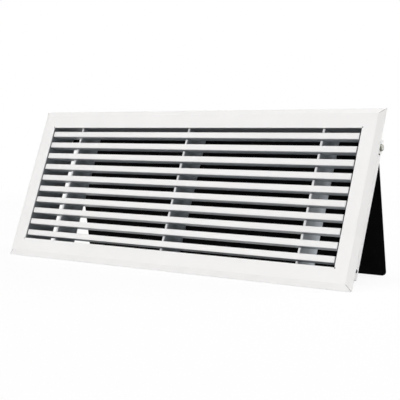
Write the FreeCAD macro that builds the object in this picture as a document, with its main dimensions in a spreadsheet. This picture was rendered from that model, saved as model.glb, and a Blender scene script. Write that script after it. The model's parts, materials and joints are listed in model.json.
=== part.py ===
"""Louvred air grille: a mitred frame with a neck, fixed horizontal bars, upright mullions and a rear flap.

In the grille's own frame X runs along its length, Y from the front face into the wall and Z up the face,
with the origin in the middle of the opening. Every piece is made there, then the whole grille is stood on
the floor as it stands on a table: it leans back on its lower edge and on the open flap. Millimetres.
"""
import FreeCAD, Part
import math
import os
import Sketcher
from FreeCAD import Placement, Rotation, Vector

DRIVING_SIZES = {
    # Frame: four mitred lengths of one section, a bevelled flange with a neck wall behind it.
    "opening_length": 382.0,
    "face_strip": 13.6,
    "bevel_width": 5.6,
    "bevel_depth": 2.9,
    "edge_land": 0.6,
    "edge_thickness": 1.3,
    "face_wall": 1.4,
    "lip_overhang": 0.7,
    "neck_wall": 1.5,
    "neck_depth": 38.4,
    "fold_radius": 0.5,
    "mitre_gap": 0.2,
    "corner_notch": 1.2,
    # Channel behind the face, for the corner keys and the sealing strips.
    "rib_set_back": 1.0,
    "rib_wall": 1.2,
    "rib_rear_gap": 0.3,
    "key_clearance": 0.1,
    "key_thickness": 1.6,
    "key_leg": 34.0,
    "seal_proud": 0.3,
    "seal_end_gap": 0.5,
    # Core: horizontal bars in the notches of three mullions.
    "bar_count": 10,
    "bar_pitch": 12.5,
    "bar_face": 5.8,
    "bar_depth": 9.0,
    "bar_recess": 1.6,
    "bar_edge_gap": 4.15,
    "bar_end_gap": 1.2,
    "bar_edge_radius": 0.4,
    "mullion_thickness": 2.2,
    "mullion_recess": 4.0,
    "mullion_side_inset": 40.4,
    "mullion_centre_shift": -4.4,
    "mullion_wall_gap": 0.1,
    "mullion_rear_gap": 5.8,
    "notch_clearance": 0.05,
    "lead_in_drop": 1.2,
    "lead_in_depth": 4.8,
    "foot_length": 12.0,
    "foot_width": 11.0,
    "foot_rear_gap": 2.6,
    "rivet_radius": 1.6,
    "rivet_hole_clearance": 0.05,
    "rivet_head_radius": 3.2,
    "rivet_head_height": 1.0,
    "rivet_tail_radius": 2.3,
    "rivet_tail_length": 2.0,
    # Flap: a folded sheet with a lug at each end, hung on two screws in the end walls of the neck.
    "pivot_wall_gap": 6.5,
    "pivot_rear_gap": 3.4,
    "flap_wall": 1.2,
    "flap_side_gap": 2.65,
    "flap_floor_gap": 0.3,
    "flap_top_rise": 4.0,
    "flap_corner_radius": 4.0,
    "flap_lug_radius": 4.7,
    "flap_open_angle": 30.2,
    "flap_stop_gap": 0.3,
    # Pivot hardware, from the head inwards.
    "screw_radius": 1.75,
    "screw_head_radius": 3.3,
    "screw_head_height": 1.8,
    "screw_head_rounding": 1.2,
    "screw_end_length": 1.0,
    "screw_hole_clearance": 0.1,
    "cross_width": 0.8,
    "cross_length": 3.2,
    "cross_depth": 1.0,
    "running_clearance": 0.05,
    "washer_radius": 5.4,
    "washer_thickness": 0.6,
    "spacer_radius": 3.2,
    "spacer_play": 0.1,
    "nut_radius": 2.7,
    "nut_height": 2.8,
    "nut_play": 0.2,
    "nut_sheet_gap": 0.35,
}

# Lengths that follow from the driving sizes. Each formula may use the ones above it.
DERIVED_SIZES = {
    "half_length": "opening_length / 2",
    "half_height": "((bar_count - 1) * bar_pitch + bar_face) / 2 + bar_edge_gap",
    # Distances outwards from the opening's edge.
    "flange_width": "face_strip + bevel_width",
    "neck_inner": "lip_overhang",
    "neck_outer": "neck_inner + neck_wall",
    "rib_outer": "face_strip - rib_set_back",
    "rib_inner": "rib_outer - rib_wall",
    "key_near": "neck_outer + key_clearance",
    "key_far": "rib_inner - key_clearance",
    # Depths from the front face.
    "flange_depth": "bevel_depth + edge_land",
    "rib_depth": "flange_depth - rib_rear_gap",
    "seal_depth": "flange_depth + seal_proud",
    "bar_rear": "bar_recess + bar_depth",
    "pivot_depth": "neck_depth - pivot_rear_gap",
    "mullion_rear": "neck_depth - mullion_rear_gap",
    "foot_rear": "mullion_rear - foot_rear_gap",
    "foot_front": "foot_rear - foot_length",
    "rivet_depth": "(foot_front + foot_rear) / 2",
    # Heights from the middle of the opening.
    "top_bar_height": "(bar_count - 1) * bar_pitch / 2",
    "mullion_top": "half_height + neck_inner - mullion_wall_gap",
    "foot_inner": "mullion_top - mullion_thickness",
    "pivot_height": "half_height + neck_inner - pivot_wall_gap",
    # Mullions and their rivets along the length.
    "mullion_side": "half_length - mullion_side_inset",
    "rivet_offset": "(mullion_thickness + foot_width) / 2",
    "rivet_hole_radius": "rivet_radius + rivet_hole_clearance",
    # Flap, measured from its pivot axis.
    "flap_half": "half_length + neck_inner - flap_side_gap",
    "flap_drop": "pivot_height + half_height + neck_inner - flap_floor_gap",
    "flap_set_back": "nut_radius + nut_sheet_gap",
    "flap_rear": "flap_set_back + flap_wall",
    "flap_stop_height": "pivot_wall_gap - flap_stop_gap",
    "flap_rise_open": "flap_top_rise * cos(flap_open_angle * 1 deg)",
    "flap_stop_reach": "(flap_stop_height - flap_rise_open) / sin(flap_open_angle * 1 deg)",
    # Pivot hardware.
    "pivot_hole_radius": "screw_radius + screw_hole_clearance",
    "running_radius": "screw_radius + running_clearance",
    "nut_outer": "flap_half - flap_wall - nut_play",
    "nut_inner": "nut_outer - nut_height",
    "screw_end": "nut_inner - screw_end_length",
    "wall_outer": "half_length + neck_outer",
    "head_seat": "wall_outer + washer_thickness",
}

PARTS_FOLDER = "parts"
# How far each frame member is turned about Y from the bottom one, in degrees.
MEMBER_TURNS = {"bottom": 0, "left": 90, "top": 180, "right": -90}
# On which side of the middle each corner lies, along X and along Z.
CORNERS = {"top_right": (1, 1), "top_left": (-1, 1), "bottom_left": (-1, -1), "bottom_right": (1, -1)}
MULLION_PLACES = {
    "left": "-Sizes.mullion_side",
    "centre": "Sizes.mullion_centre_shift",
    "right": "Sizes.mullion_side",
}
ENDS = {"left": -1, "right": 1}
X_AXIS, Y_AXIS, Z_AXIS = range(3)

doc = FreeCAD.newDocument("air_grille")
pieces = {}


def make_sheet():
    """Writes the sizes to the sheet, one row each, and gives each value its alias."""
    sheet = doc.addObject("Spreadsheet::Sheet", "Sizes")
    cells = {alias: str(value) for alias, value in DRIVING_SIZES.items()}
    cells.update({alias: f"={formula}" for alias, formula in DERIVED_SIZES.items()})
    for row, (alias, content) in enumerate(cells.items(), start=1):
        sheet.set(f"A{row}", alias)
        sheet.set(f"B{row}", content)
        sheet.setAlias(f"B{row}", alias)
    doc.recompute()
    return {alias: float(sheet.get(alias)) for alias in cells}


# ---------------------------------------------------------------- sketches and features


def new_body(name):
    """Adds an empty body for one piece of the grille."""
    body = doc.addObject("PartDesign::Body", name)
    body.Label = name
    return body


def new_sketch(body, role, name, offset=None):
    """Adds a sketch on one of the body's own origin planes, moved along its normal by an expression."""
    sketch = body.newObject("Sketcher::SketchObject", f"{body.Label}_{name}")
    plane = [feature for feature in body.Origin.OriginFeatures if feature.Role == role][0]
    sketch.AttachmentSupport = [(plane, "")]
    sketch.MapMode = "FlatFace"
    if offset is not None:
        sketch.setExpression(".AttachmentOffset.Base.z", offset)
    return sketch


def pin_point(sketch, geometry, point, x, y):
    """Holds one point of a sketch at two expressions measured from its origin."""
    for kind, expression in (("DistanceX", x), ("DistanceY", y)):
        index = sketch.addConstraint(Sketcher.Constraint(kind, -1, 1, geometry, point, 1.0))
        sketch.setExpression(f"Constraints[{index}]", expression)


def add_polygon(sketch, corners):
    """Draws a closed outline whose corners are pairs of expressions."""
    count = len(corners)
    first = sketch.GeometryCount
    turn = 2 * math.pi / count
    seeds = [Vector(math.cos(turn * i), math.sin(turn * i), 0) for i in range(count)]
    for i in range(count):
        sketch.addGeometry(Part.LineSegment(seeds[i], seeds[(i + 1) % count]), False)
    for i in range(count):
        following = first + (i + 1) % count
        sketch.addConstraint(Sketcher.Constraint("Coincident", first + i, 2, following, 1))
    for i, (x, y) in enumerate(corners):
        pin_point(sketch, first + i, 1, x, y)


def add_rectangle(sketch, near_x, far_x, near_y, far_y):
    """Draws a rectangle between two pairs of expressions."""
    add_polygon(sketch, [(near_x, near_y), (far_x, near_y), (far_x, far_y), (near_x, far_y)])


def add_circle(sketch, x, y, radius):
    """Draws a circle from three expressions."""
    geometry = sketch.addGeometry(Part.Circle(Vector(0, 0, 0), Vector(0, 0, 1), 1.0), False)
    pin_point(sketch, geometry, 3, x, y)
    index = sketch.addConstraint(Sketcher.Constraint("Radius", geometry, 1.0))
    sketch.setExpression(f"Constraints[{index}]", radius)


def pad(body, sketch, length, both_ways=False, backwards=False):
    """Pads a sketch by an expression, to both sides of its plane or against its normal."""
    feature = body.newObject("PartDesign::Pad", f"{sketch.Label}_pad")
    feature.Profile = sketch
    feature.Midplane = both_ways
    feature.Reversed = backwards
    feature.setExpression("Length", length)
    doc.recompute()


def pocket(body, sketch, length, both_ways=True, backwards=False):
    """Cuts a sketch into the body and makes sure that the cut took something away."""
    before = body.Shape.Volume
    feature = body.newObject("PartDesign::Pocket", f"{sketch.Label}_cut")
    feature.Profile = sketch
    feature.Midplane = both_ways
    feature.Reversed = backwards
    feature.setExpression("Length", length)
    doc.recompute()
    if not body.Shape.Volume < before:
        raise RuntimeError(f"{feature.Label} removed nothing")
    return feature


def spin(body, sketch):
    """Turns a half outline all the way round the upright axis of its sketch."""
    feature = body.newObject("PartDesign::Revolution", f"{sketch.Label}_turned")
    feature.Profile = sketch
    feature.ReferenceAxis = (sketch, ["V_Axis"])
    feature.Angle = 360.0
    doc.recompute()


def fillet(body, edge_names, radius):
    """Rounds the named edges of the body's last feature."""
    base = body.Tip
    feature = body.newObject("PartDesign::Fillet", f"{body.Label}_rounding")
    feature.Base = (base, edge_names)
    feature.setExpression("Radius", radius)
    doc.recompute()


def round_long_edges(body, axis, places, radius):
    """Rounds the straight edges that run along one axis through places given in the other two."""
    across = [other for other in (X_AXIS, Y_AXIS, Z_AXIS) if other != axis]
    names = []
    for number, edge in enumerate(body.Shape.Edges, start=1):
        start = [edge.Vertexes[0].Point[other] for other in across]
        end = [edge.Vertexes[-1].Point[other] for other in across]
        if any(max(math.dist(start, place), math.dist(end, place)) < 1e-4 for place in places):
            names.append(f"Edge{number}")
    if len(names) != len(places):
        raise RuntimeError(f"{body.Label} has {len(names)} edges to round, not {len(places)}")
    fillet(body, names, radius)


def register(piece, local=None):
    """Keeps a finished piece with its place in the grille's own frame."""
    pieces[piece.Label] = (piece, local or Placement())


# ---------------------------------------------------------------- frame


def halves(side):
    """Gives the aliases of a member's distance from the middle and of half its length."""
    if side in ("left", "right"):
        return "half_length", "half_height"
    return "half_height", "half_length"


def member_place(side):
    """Turns what is drawn as the bottom member to its own side of the opening."""
    return Placement(Vector(0, 0, 0), Rotation(Vector(0, 1, 0), MEMBER_TURNS[side]))


def make_frame_member(size, side):
    """One mitred length of the frame section, drawn as the bottom member."""
    body = new_body(f"frame_{side}")
    away, along = halves(side)

    def out(distance):
        return f"-Sizes.{away} - ({distance})"

    section = new_sketch(body, "YZ_Plane", "section")
    add_polygon(section, [
        ("0", out("0")),
        ("0", out("Sizes.face_strip")),
        ("Sizes.bevel_depth", out("Sizes.flange_width")),
        ("Sizes.flange_depth", out("Sizes.flange_width")),
        ("Sizes.flange_depth", out("Sizes.flange_width - Sizes.edge_thickness")),
        ("Sizes.face_wall", out("Sizes.face_strip - Sizes.fold_radius")),
        ("Sizes.face_wall", out("Sizes.rib_outer")),
        ("Sizes.rib_depth", out("Sizes.rib_outer")),
        ("Sizes.rib_depth", out("Sizes.rib_inner")),
        ("Sizes.face_wall", out("Sizes.rib_inner")),
        ("Sizes.face_wall", out("Sizes.neck_outer")),
        ("Sizes.neck_depth", out("Sizes.neck_outer")),
        ("Sizes.neck_depth", out("Sizes.neck_inner")),
        ("Sizes.face_wall", out("Sizes.neck_inner")),
        ("Sizes.face_wall", out("0")),
    ])
    pad(body, section, f"2 * (Sizes.{along} + Sizes.flange_width)", both_ways=True)
    lip = -size[away]
    folds = [
        (0, lip),
        (0, lip - size["face_strip"]),
        (size["bevel_depth"], lip - size["flange_width"]),
    ]
    round_long_edges(body, X_AXIS, folds, "Sizes.fold_radius")

    mitres = new_sketch(body, "XZ_Plane", "mitres")
    inner_end = f"(Sizes.{along} - Sizes.bevel_width - Sizes.mitre_gap / 2)"
    outer_end = f"(Sizes.{along} + Sizes.flange_width + Sizes.bevel_width)"
    inner_level = out("-Sizes.bevel_width")
    outer_level = out("Sizes.flange_width + Sizes.bevel_width + Sizes.mitre_gap / 2")
    for sign in ("", "-"):
        add_polygon(mitres, [
            (f"{sign}{inner_end}", inner_level),
            (f"{sign}{outer_end}", outer_level),
            (f"{sign}{outer_end}", inner_level),
        ])
    pocket(body, mitres, "3 * Sizes.neck_depth")

    notches = new_sketch(body, "XZ_Plane", "notches")
    for sign in ("", "-"):
        add_rectangle(
            notches,
            f"{sign}(Sizes.{along} - Sizes.mitre_gap / 2)",
            f"{sign}(Sizes.{along} + 2 * Sizes.corner_notch)",
            out("Sizes.corner_notch"),
            out("-Sizes.corner_notch"),
        )
    pocket(body, notches, "2 * Sizes.face_wall")
    cut_member_holes(body, side)
    register(body, member_place(side))


def cut_member_holes(body, side):
    """Cuts the pivot holes of an upright member, or the rivet holes of a level one, into its neck."""
    away, _ = halves(side)
    if side in ENDS:
        holes = new_sketch(body, "XY_Plane", "pivot_holes")
        for sign in ("", "-"):
            add_circle(holes, f"{sign}Sizes.pivot_height", "Sizes.pivot_depth", "Sizes.pivot_hole_radius")
    else:
        holes = new_sketch(body, "XY_Plane", "rivet_holes")
        flip = "-" if side == "top" else ""
        for place in MULLION_PLACES.values():
            along = f"{flip}({place} - Sizes.rivet_offset)"
            add_circle(holes, along, "Sizes.rivet_depth", "Sizes.rivet_hole_radius")
    pocket(body, holes, f"2 * (Sizes.{away} + Sizes.flange_width)")


def make_corner_key(name, sign_x, sign_z):
    """A flat angle plate that joins two members in the channel behind the face."""
    body = new_body(f"corner_key_{name}")
    plate = new_sketch(body, "XZ_Plane", "plate", offset="-Sizes.face_wall")
    far = "Sizes.key_far"
    near = "Sizes.key_near"
    tip = "(Sizes.key_far - Sizes.key_leg)"
    outline = [(far, far), (tip, far), (tip, near), (near, near), (near, tip), (far, tip)]
    add_polygon(plate, [
        (f"{sign_x} * (Sizes.half_length + {x})", f"{sign_z} * (Sizes.half_height + {z})") for x, z in outline
    ])
    pad(body, plate, "Sizes.key_thickness", backwards=True)
    register(body)


def make_seal(side):
    """A soft sealing strip along one member's channel, between the two corner keys."""
    body = new_body(f"seal_{side}")
    away, along = halves(side)
    section = new_sketch(body, "YZ_Plane", "section")
    add_rectangle(
        section,
        "Sizes.face_wall",
        "Sizes.seal_depth",
        f"-(Sizes.{away} + Sizes.key_far)",
        f"-(Sizes.{away} + Sizes.key_near)",
    )
    key_tip = f"(Sizes.{along} + Sizes.key_far - Sizes.key_leg)"
    pad(body, section, f"2 * ({key_tip} - Sizes.seal_end_gap)", both_ways=True)
    register(body, member_place(side))


# ---------------------------------------------------------------- core


def make_bar(size, index):
    """One fixed horizontal bar with softened front edges, counted from the top."""
    body = new_body(f"bar_{index + 1:02d}")
    section = new_sketch(body, "YZ_Plane", "section")
    middle = f"Sizes.top_bar_height - {index} * Sizes.bar_pitch"
    add_rectangle(
        section,
        "Sizes.bar_recess",
        "Sizes.bar_rear",
        f"{middle} - Sizes.bar_face / 2",
        f"{middle} + Sizes.bar_face / 2",
    )
    pad(body, section, "Sizes.opening_length - 2 * Sizes.bar_end_gap", both_ways=True)
    height = size["top_bar_height"] - index * size["bar_pitch"]
    front_edges = [(size["bar_recess"], height + sign * size["bar_face"] / 2) for sign in (-1, 1)]
    round_long_edges(body, X_AXIS, front_edges, "Sizes.bar_edge_radius")
    register(body)


def make_mullion(size, name):
    """An upright plate with a notch for every bar and a riveted foot at each end."""
    body = new_body(f"mullion_{name}")
    plate = new_sketch(body, "YZ_Plane", "plate")
    add_rectangle(
        plate, "Sizes.mullion_recess", "Sizes.mullion_rear", "-Sizes.mullion_top", "Sizes.mullion_top"
    )
    pad(body, plate, "Sizes.mullion_thickness", both_ways=True)
    for end, sign in (("top", ""), ("bottom", "-")):
        foot = new_sketch(body, "XY_Plane", f"{end}_foot", offset=f"{sign}Sizes.mullion_top")
        add_rectangle(
            foot,
            "-(Sizes.mullion_thickness / 2 + Sizes.foot_width)",
            "0",
            "Sizes.foot_front",
            "Sizes.foot_rear",
        )
        pad(body, foot, "Sizes.mullion_thickness", backwards=end == "top")
    holes = new_sketch(body, "XY_Plane", "rivet_holes")
    add_circle(holes, "-Sizes.rivet_offset", "Sizes.rivet_depth", "Sizes.rivet_hole_radius")
    pocket(body, holes, "3 * Sizes.mullion_top")
    cut_bar_notches(body)
    place = size["mullion_centre_shift"] if name == "centre" else ENDS[name] * size["mullion_side"]
    register(body, Placement(Vector(place, 0, 0), Rotation()))


def cut_bar_notches(body):
    """Cuts one notch per bar into a mullion's front edge, each with a flared lower side."""
    notch = new_sketch(body, "YZ_Plane", "notch")
    top = "(Sizes.top_bar_height + Sizes.bar_face / 2 + Sizes.notch_clearance)"
    bottom = "(Sizes.top_bar_height - Sizes.bar_face / 2 - Sizes.notch_clearance)"
    rear = "(Sizes.bar_rear + Sizes.notch_clearance)"
    add_polygon(notch, [
        ("0", top),
        (rear, top),
        (rear, bottom),
        ("Sizes.mullion_recess + Sizes.lead_in_depth", bottom),
        ("Sizes.mullion_recess", f"{bottom} - Sizes.lead_in_drop"),
        ("0", f"{bottom} - Sizes.lead_in_drop"),
    ])
    cut = pocket(body, notch, "2 * Sizes.mullion_thickness")
    before = body.Shape.Volume
    pattern = body.newObject("PartDesign::LinearPattern", f"{body.Label}_notches")
    pattern.Originals = [cut]
    pattern.Direction = (notch, ["V_Axis"])
    pattern.Reversed = True
    pattern.setExpression("Occurrences", "Sizes.bar_count")
    pattern.setExpression("Length", "(Sizes.bar_count - 1) * Sizes.bar_pitch")
    body.Tip = pattern
    doc.recompute()
    if not body.Shape.Volume < before:
        raise RuntimeError(f"{pattern.Label} cut no further notches")


def make_rivets(size):
    """The blind rivets that hold the mullions' feet to the neck, as one group of separate solids."""
    head_radius = size["rivet_head_radius"]
    head_height = size["rivet_head_height"]
    dome_radius = (head_radius ** 2 + head_height ** 2) / (2 * head_height)
    wall_outer = size["half_height"] + size["neck_outer"]
    foot_inner = size["foot_inner"]
    places = [-size["mullion_side"], size["mullion_centre_shift"], size["mullion_side"]]
    solids = []
    for place in places:
        for end in (1, -1):
            outwards = Vector(0, 0, end)
            axis_foot = Vector(place - size["rivet_offset"], size["rivet_depth"], 0)
            seat = axis_foot + outwards * wall_outer
            tail_seat = axis_foot + outwards * foot_inner
            head = Part.makeSphere(dome_radius, seat + outwards * (head_height - dome_radius))
            head = head.common(Part.makeCylinder(head_radius, head_height, seat, outwards))
            shank = Part.makeCylinder(size["rivet_radius"], wall_outer - foot_inner, seat, -outwards)
            tail = Part.makeCone(
                size["rivet_tail_radius"], size["rivet_radius"], size["rivet_tail_length"], tail_seat, -outwards
            )
            solids.append(head.fuse([shank, tail]).removeSplitter())
    rivets = doc.addObject("Part::Feature", "mullion_rivets")
    rivets.Shape = Part.makeCompound(solids)
    register(rivets)


# ---------------------------------------------------------------- flap


def make_flap(size):
    """The folded flap: a sheet with a lug at each end and a top fold that stops it under the neck.

    It is drawn upright, as it hangs when shut, with its pivot axis along X through the origin.
    """
    body = new_body("flap_panel")
    sheet = new_sketch(body, "YZ_Plane", "sheet")
    add_polygon(sheet, [
        ("Sizes.flap_set_back", "-Sizes.flap_drop"),
        ("Sizes.flap_rear", "-Sizes.flap_drop"),
        ("Sizes.flap_rear", "Sizes.flap_top_rise - Sizes.flap_wall"),
        ("Sizes.flap_stop_reach", "Sizes.flap_top_rise - Sizes.flap_wall"),
        ("Sizes.flap_stop_reach", "Sizes.flap_top_rise"),
        ("Sizes.flap_set_back", "Sizes.flap_top_rise"),
    ])
    pad(body, sheet, "2 * Sizes.flap_half", both_ways=True)
    corners = [(sign * size["flap_half"], -size["flap_drop"]) for sign in (-1, 1)]
    round_long_edges(body, Y_AXIS, corners, "Sizes.flap_corner_radius")

    for name, sign in ENDS.items():
        place = f"{sign} * Sizes.flap_half"
        root = new_sketch(body, "YZ_Plane", f"{name}_lug_root", offset=place)
        add_rectangle(root, "0", "Sizes.flap_rear", "-Sizes.flap_lug_radius", "Sizes.flap_top_rise")
        pad(body, root, "Sizes.flap_wall", backwards=name == "right")
        lug = new_sketch(body, "YZ_Plane", f"{name}_lug", offset=place)
        add_circle(lug, "0", "0", "Sizes.flap_lug_radius")
        pad(body, lug, "Sizes.flap_wall", backwards=name == "right")
    pivots = new_sketch(body, "YZ_Plane", "pivot_holes")
    add_circle(pivots, "0", "0", "Sizes.running_radius")
    pocket(body, pivots, "3 * Sizes.flap_half")
    opened = Rotation(Vector(1, 0, 0), size["flap_open_angle"])
    register(body, Placement(Vector(0, size["pivot_depth"], size["pivot_height"]), opened))


# ---------------------------------------------------------------- pivot hardware


def make_pivot(size, name):
    """The screw, washer, spacer and nut on which one lug of the flap turns.

    Each piece is drawn with the pivot axis along Z, its outer end upwards, then laid along X.
    """
    outwards = Rotation(Vector(0, 0, 1), Vector(ENDS[name], 0, 0))
    middle = Vector(0, size["pivot_depth"], size["pivot_height"])
    laid = Placement(middle, outwards)
    make_screw(f"pivot_screw_{name}", laid)
    make_washer(f"pivot_washer_{name}", laid)
    make_ring(
        f"pivot_spacer_{name}",
        "Sizes.spacer_radius",
        "Sizes.flap_half + Sizes.spacer_play",
        "Sizes.half_length + Sizes.neck_inner - Sizes.spacer_play",
        laid,
    )
    make_ring(f"pivot_nut_{name}", "Sizes.nut_radius", "Sizes.nut_inner", "Sizes.nut_outer", laid)


def make_screw(name, place):
    """A pan-headed screw with a cross recess."""
    body = new_body(name)
    outline = new_sketch(body, "XZ_Plane", "half_outline")
    top = "Sizes.head_seat + Sizes.screw_head_height"
    add_polygon(outline, [
        ("0", "Sizes.screw_end"),
        ("Sizes.screw_radius", "Sizes.screw_end"),
        ("Sizes.screw_radius", "Sizes.head_seat"),
        ("Sizes.screw_head_radius", "Sizes.head_seat"),
        ("Sizes.screw_head_radius", top),
        ("0", top),
    ])
    spin(body, outline)
    rims = [
        f"Edge{number}" for number, edge in enumerate(body.Shape.Edges, start=1)
        if edge.Closed and abs(edge.BoundBox.ZMin - body.Shape.BoundBox.ZMax) < 1e-4
    ]
    fillet(body, rims, "Sizes.screw_head_rounding")
    cross = new_sketch(body, "XY_Plane", "cross", offset=top)
    half_width = "Sizes.cross_width / 2"
    half_span = "Sizes.cross_length / 2"
    arm = [(half_width, half_width), (half_width, half_span), (f"-{half_width}", half_span)]
    turns = [arm, [(f"-{y}", x) for x, y in arm], [(f"-({x})", f"-({y})") for x, y in arm]]
    turns.append([(y, f"-({x})") for x, y in arm])
    add_polygon(cross, [corner for turned in turns for corner in turned])
    pocket(body, cross, "Sizes.cross_depth", both_ways=False)
    register(body, place)


def add_ring(name, radius, inner_end, outer_end):
    """Adds a plain ring on the screw, between two places along the pivot axis."""
    body = new_body(name)
    outline = new_sketch(body, "XZ_Plane", "half_outline")
    add_rectangle(outline, "Sizes.running_radius", radius, inner_end, outer_end)
    spin(body, outline)
    return body


def make_ring(name, radius, inner_end, outer_end, place):
    """A spacer or a round nut: a plain ring that the screw carries."""
    register(add_ring(name, radius, inner_end, outer_end), place)


def make_washer(name, place):
    """The washer under the screw's head, with a flat level with the neck's rear edge."""
    body = add_ring(name, "Sizes.washer_radius", "Sizes.wall_outer", "Sizes.head_seat")
    flat = new_sketch(body, "XY_Plane", "flat", offset="Sizes.head_seat")
    add_rectangle(
        flat,
        "-2 * Sizes.washer_radius",
        "2 * Sizes.washer_radius",
        "Sizes.pivot_rear_gap",
        "Sizes.pivot_rear_gap + 2 * Sizes.washer_radius",
    )
    pocket(body, flat, "3 * Sizes.washer_thickness")
    register(body, place)


# ---------------------------------------------------------------- standing, checking and writing


def place_pieces(stand):
    """Puts every piece where it lies in the grille, with the grille as it stands."""
    for piece, local in pieces.values():
        piece.Placement = stand.multiply(local)
    doc.recompute()


def stand_on_floor(size):
    """Leans the grille back until its lower edge and the open flap's lower edge share the floor."""
    opening = math.radians(size["flap_open_angle"])
    flap_foot = (
        size["pivot_depth"] + size["flap_set_back"] * math.cos(opening) + size["flap_drop"] * math.sin(opening),
        size["pivot_height"] + size["flap_set_back"] * math.sin(opening) - size["flap_drop"] * math.cos(opening),
    )
    frame_foot = (size["flange_depth"], -(size["half_height"] + size["flange_width"]))
    lean = math.atan2(flap_foot[1] - frame_foot[1], flap_foot[0] - frame_foot[0])
    leaning = Rotation(Vector(1, 0, 0), -math.degrees(lean))
    place_pieces(Placement(Vector(0, 0, 0), leaning))
    bounds = FreeCAD.BoundBox()
    for piece, _ in pieces.values():
        bounds.add(piece.Shape.BoundBox)
    shift = Vector(-bounds.Center.x, -bounds.Center.y, -bounds.ZMin)
    place_pieces(Placement(shift, leaning))
    print(f"lean {math.degrees(lean):.4f} degrees, shift {shift.x:.4f} {shift.y:.4f} {shift.z:.4f}")


def check_document():
    """Stops the build if any object failed or any piece has no valid solid."""
    for item in doc.Objects:
        if "Invalid" in item.State or "Error" in item.State:
            raise RuntimeError(f"{item.Label} failed: {item.State}")
    for name, (piece, _) in pieces.items():
        if piece.Shape.isNull() or not piece.Shape.isValid() or not piece.Shape.Solids:
            raise RuntimeError(f"{name} has no valid solid")


def write_pieces():
    """Writes each piece to its own STEP file."""
    os.makedirs(PARTS_FOLDER, exist_ok=True)
    for name, (piece, _) in pieces.items():
        piece.Shape.exportStep(os.path.join(PARTS_FOLDER, f"{name}.step"))
        print(f"{name}: {len(piece.Shape.Solids)} solids, {piece.Shape.Volume:.1f} mm3")


def main():
    """Builds every piece, stands the grille on the floor and writes the pieces."""
    size = make_sheet()
    for side in MEMBER_TURNS:
        make_frame_member(size, side)
        make_seal(side)
    for name, (sign_x, sign_z) in CORNERS.items():
        make_corner_key(name, sign_x, sign_z)
    for index in range(int(size["bar_count"])):
        make_bar(size, index)
    for name in MULLION_PLACES:
        make_mullion(size, name)
    make_rivets(size)
    make_flap(size)
    for name in ENDS:
        make_pivot(size, name)
    stand_on_floor(size)
    check_document()
    write_pieces()


main()
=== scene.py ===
"""Looks of a louvred air grille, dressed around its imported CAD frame.

The grille is a mitred white frame with ten fixed bars across three notched mullions. A black
folded flap hangs on two screws in the ends of its neck, and the grille leans back on that open
flap. Sizes of pieces are in millimetres along the grille's own axes: x along its length, y from
the face into the wall, z up the face. Lamps, floor and camera are in metres in the row frame.
"""

import json
import logging
import math
from collections.abc import Callable, Iterable, Sequence
from dataclasses import dataclass, field
from enum import Enum

import bmesh
import bpy
from mathutils import Matrix, Vector, noise
from mathutils.geometry import tessellate_polygon

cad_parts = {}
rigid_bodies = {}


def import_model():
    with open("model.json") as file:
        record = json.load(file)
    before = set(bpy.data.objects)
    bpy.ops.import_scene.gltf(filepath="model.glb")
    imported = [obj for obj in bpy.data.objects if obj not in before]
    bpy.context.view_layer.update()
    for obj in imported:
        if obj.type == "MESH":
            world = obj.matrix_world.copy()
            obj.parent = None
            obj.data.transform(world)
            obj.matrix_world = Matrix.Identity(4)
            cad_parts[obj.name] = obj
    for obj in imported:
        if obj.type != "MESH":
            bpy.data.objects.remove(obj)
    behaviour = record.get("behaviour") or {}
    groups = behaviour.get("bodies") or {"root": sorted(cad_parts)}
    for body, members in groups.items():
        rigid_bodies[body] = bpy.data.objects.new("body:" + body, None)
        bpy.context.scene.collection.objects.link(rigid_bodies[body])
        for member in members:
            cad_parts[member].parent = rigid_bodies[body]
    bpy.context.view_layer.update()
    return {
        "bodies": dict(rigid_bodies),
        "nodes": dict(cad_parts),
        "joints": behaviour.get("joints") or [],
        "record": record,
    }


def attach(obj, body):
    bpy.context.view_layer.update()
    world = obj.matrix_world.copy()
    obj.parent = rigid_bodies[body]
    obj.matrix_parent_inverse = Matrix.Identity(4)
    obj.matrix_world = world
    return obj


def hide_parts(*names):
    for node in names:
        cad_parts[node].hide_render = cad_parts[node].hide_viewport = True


Colour = tuple[float, float, float]
Point2 = tuple[float, float]
Point3 = tuple[float, float, float]

LOG = logging.getLogger("air_grille")
MM = 0.001
WHITE: Colour = (1.0, 1.0, 1.0)

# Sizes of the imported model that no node's span gives.
NECK_DEPTH = 38.4
NECK_WALL = 1.5
LIP_OVERHANG = 0.7

# How far short of the neck's outer face the painted shade stops, and a bound that nothing reaches.
SHADE_MARGIN = 0.05
NO_LIMIT = 1000.0

# Angles between two faces, in degrees. Up to the first they count as one flat face. Above the
# others their edge is rounded, is rounded on a punched plate, and is shaded crisp.
FLAT_ANGLE = 0.5
SHARP_ANGLE = 35.0
PUNCHED_ANGLE = 50.0
CRISP_ANGLE = 32.0

# Distances within which points count as one, in millimetres.
WELD = 0.001
CUT_WELD = 0.0005
PLANE_TOUCH = 1e-5
TOUCH = 1e-6

# The ripple's seed. Without one, Blender's noise starts from the time of day.
RIPPLE_SEED = 1


class Body(Enum):
    """The two bodies that the pieces ride on."""

    GRILLE = "grille"
    FLAP = "flap"


class Slot(Enum):
    """The record's material slots, one given with each new piece."""

    FRAME = "frame_white"
    BAR = "bar_white"
    KEY = "key_aluminium"
    FOAM = "seal_foam"
    RIVET = "rivet_aluminium"
    FLAP = "flap_black"
    STEEL = "screw_steel"
    NYLON = "nylon_white"


class Place(Enum):
    """A place on the grille that the names of its pieces end in."""

    @property
    def label(self) -> str:
        """The place's name as it stands in the names of its pieces."""
        return self.name.lower()


class End(Place):
    """The two ends of the grille, with the sign of x at each."""

    LEFT = -1
    RIGHT = 1


class Upright(Place):
    """The three mullions, counted along x."""

    LEFT = 1
    CENTRE = 2
    RIGHT = 3


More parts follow.
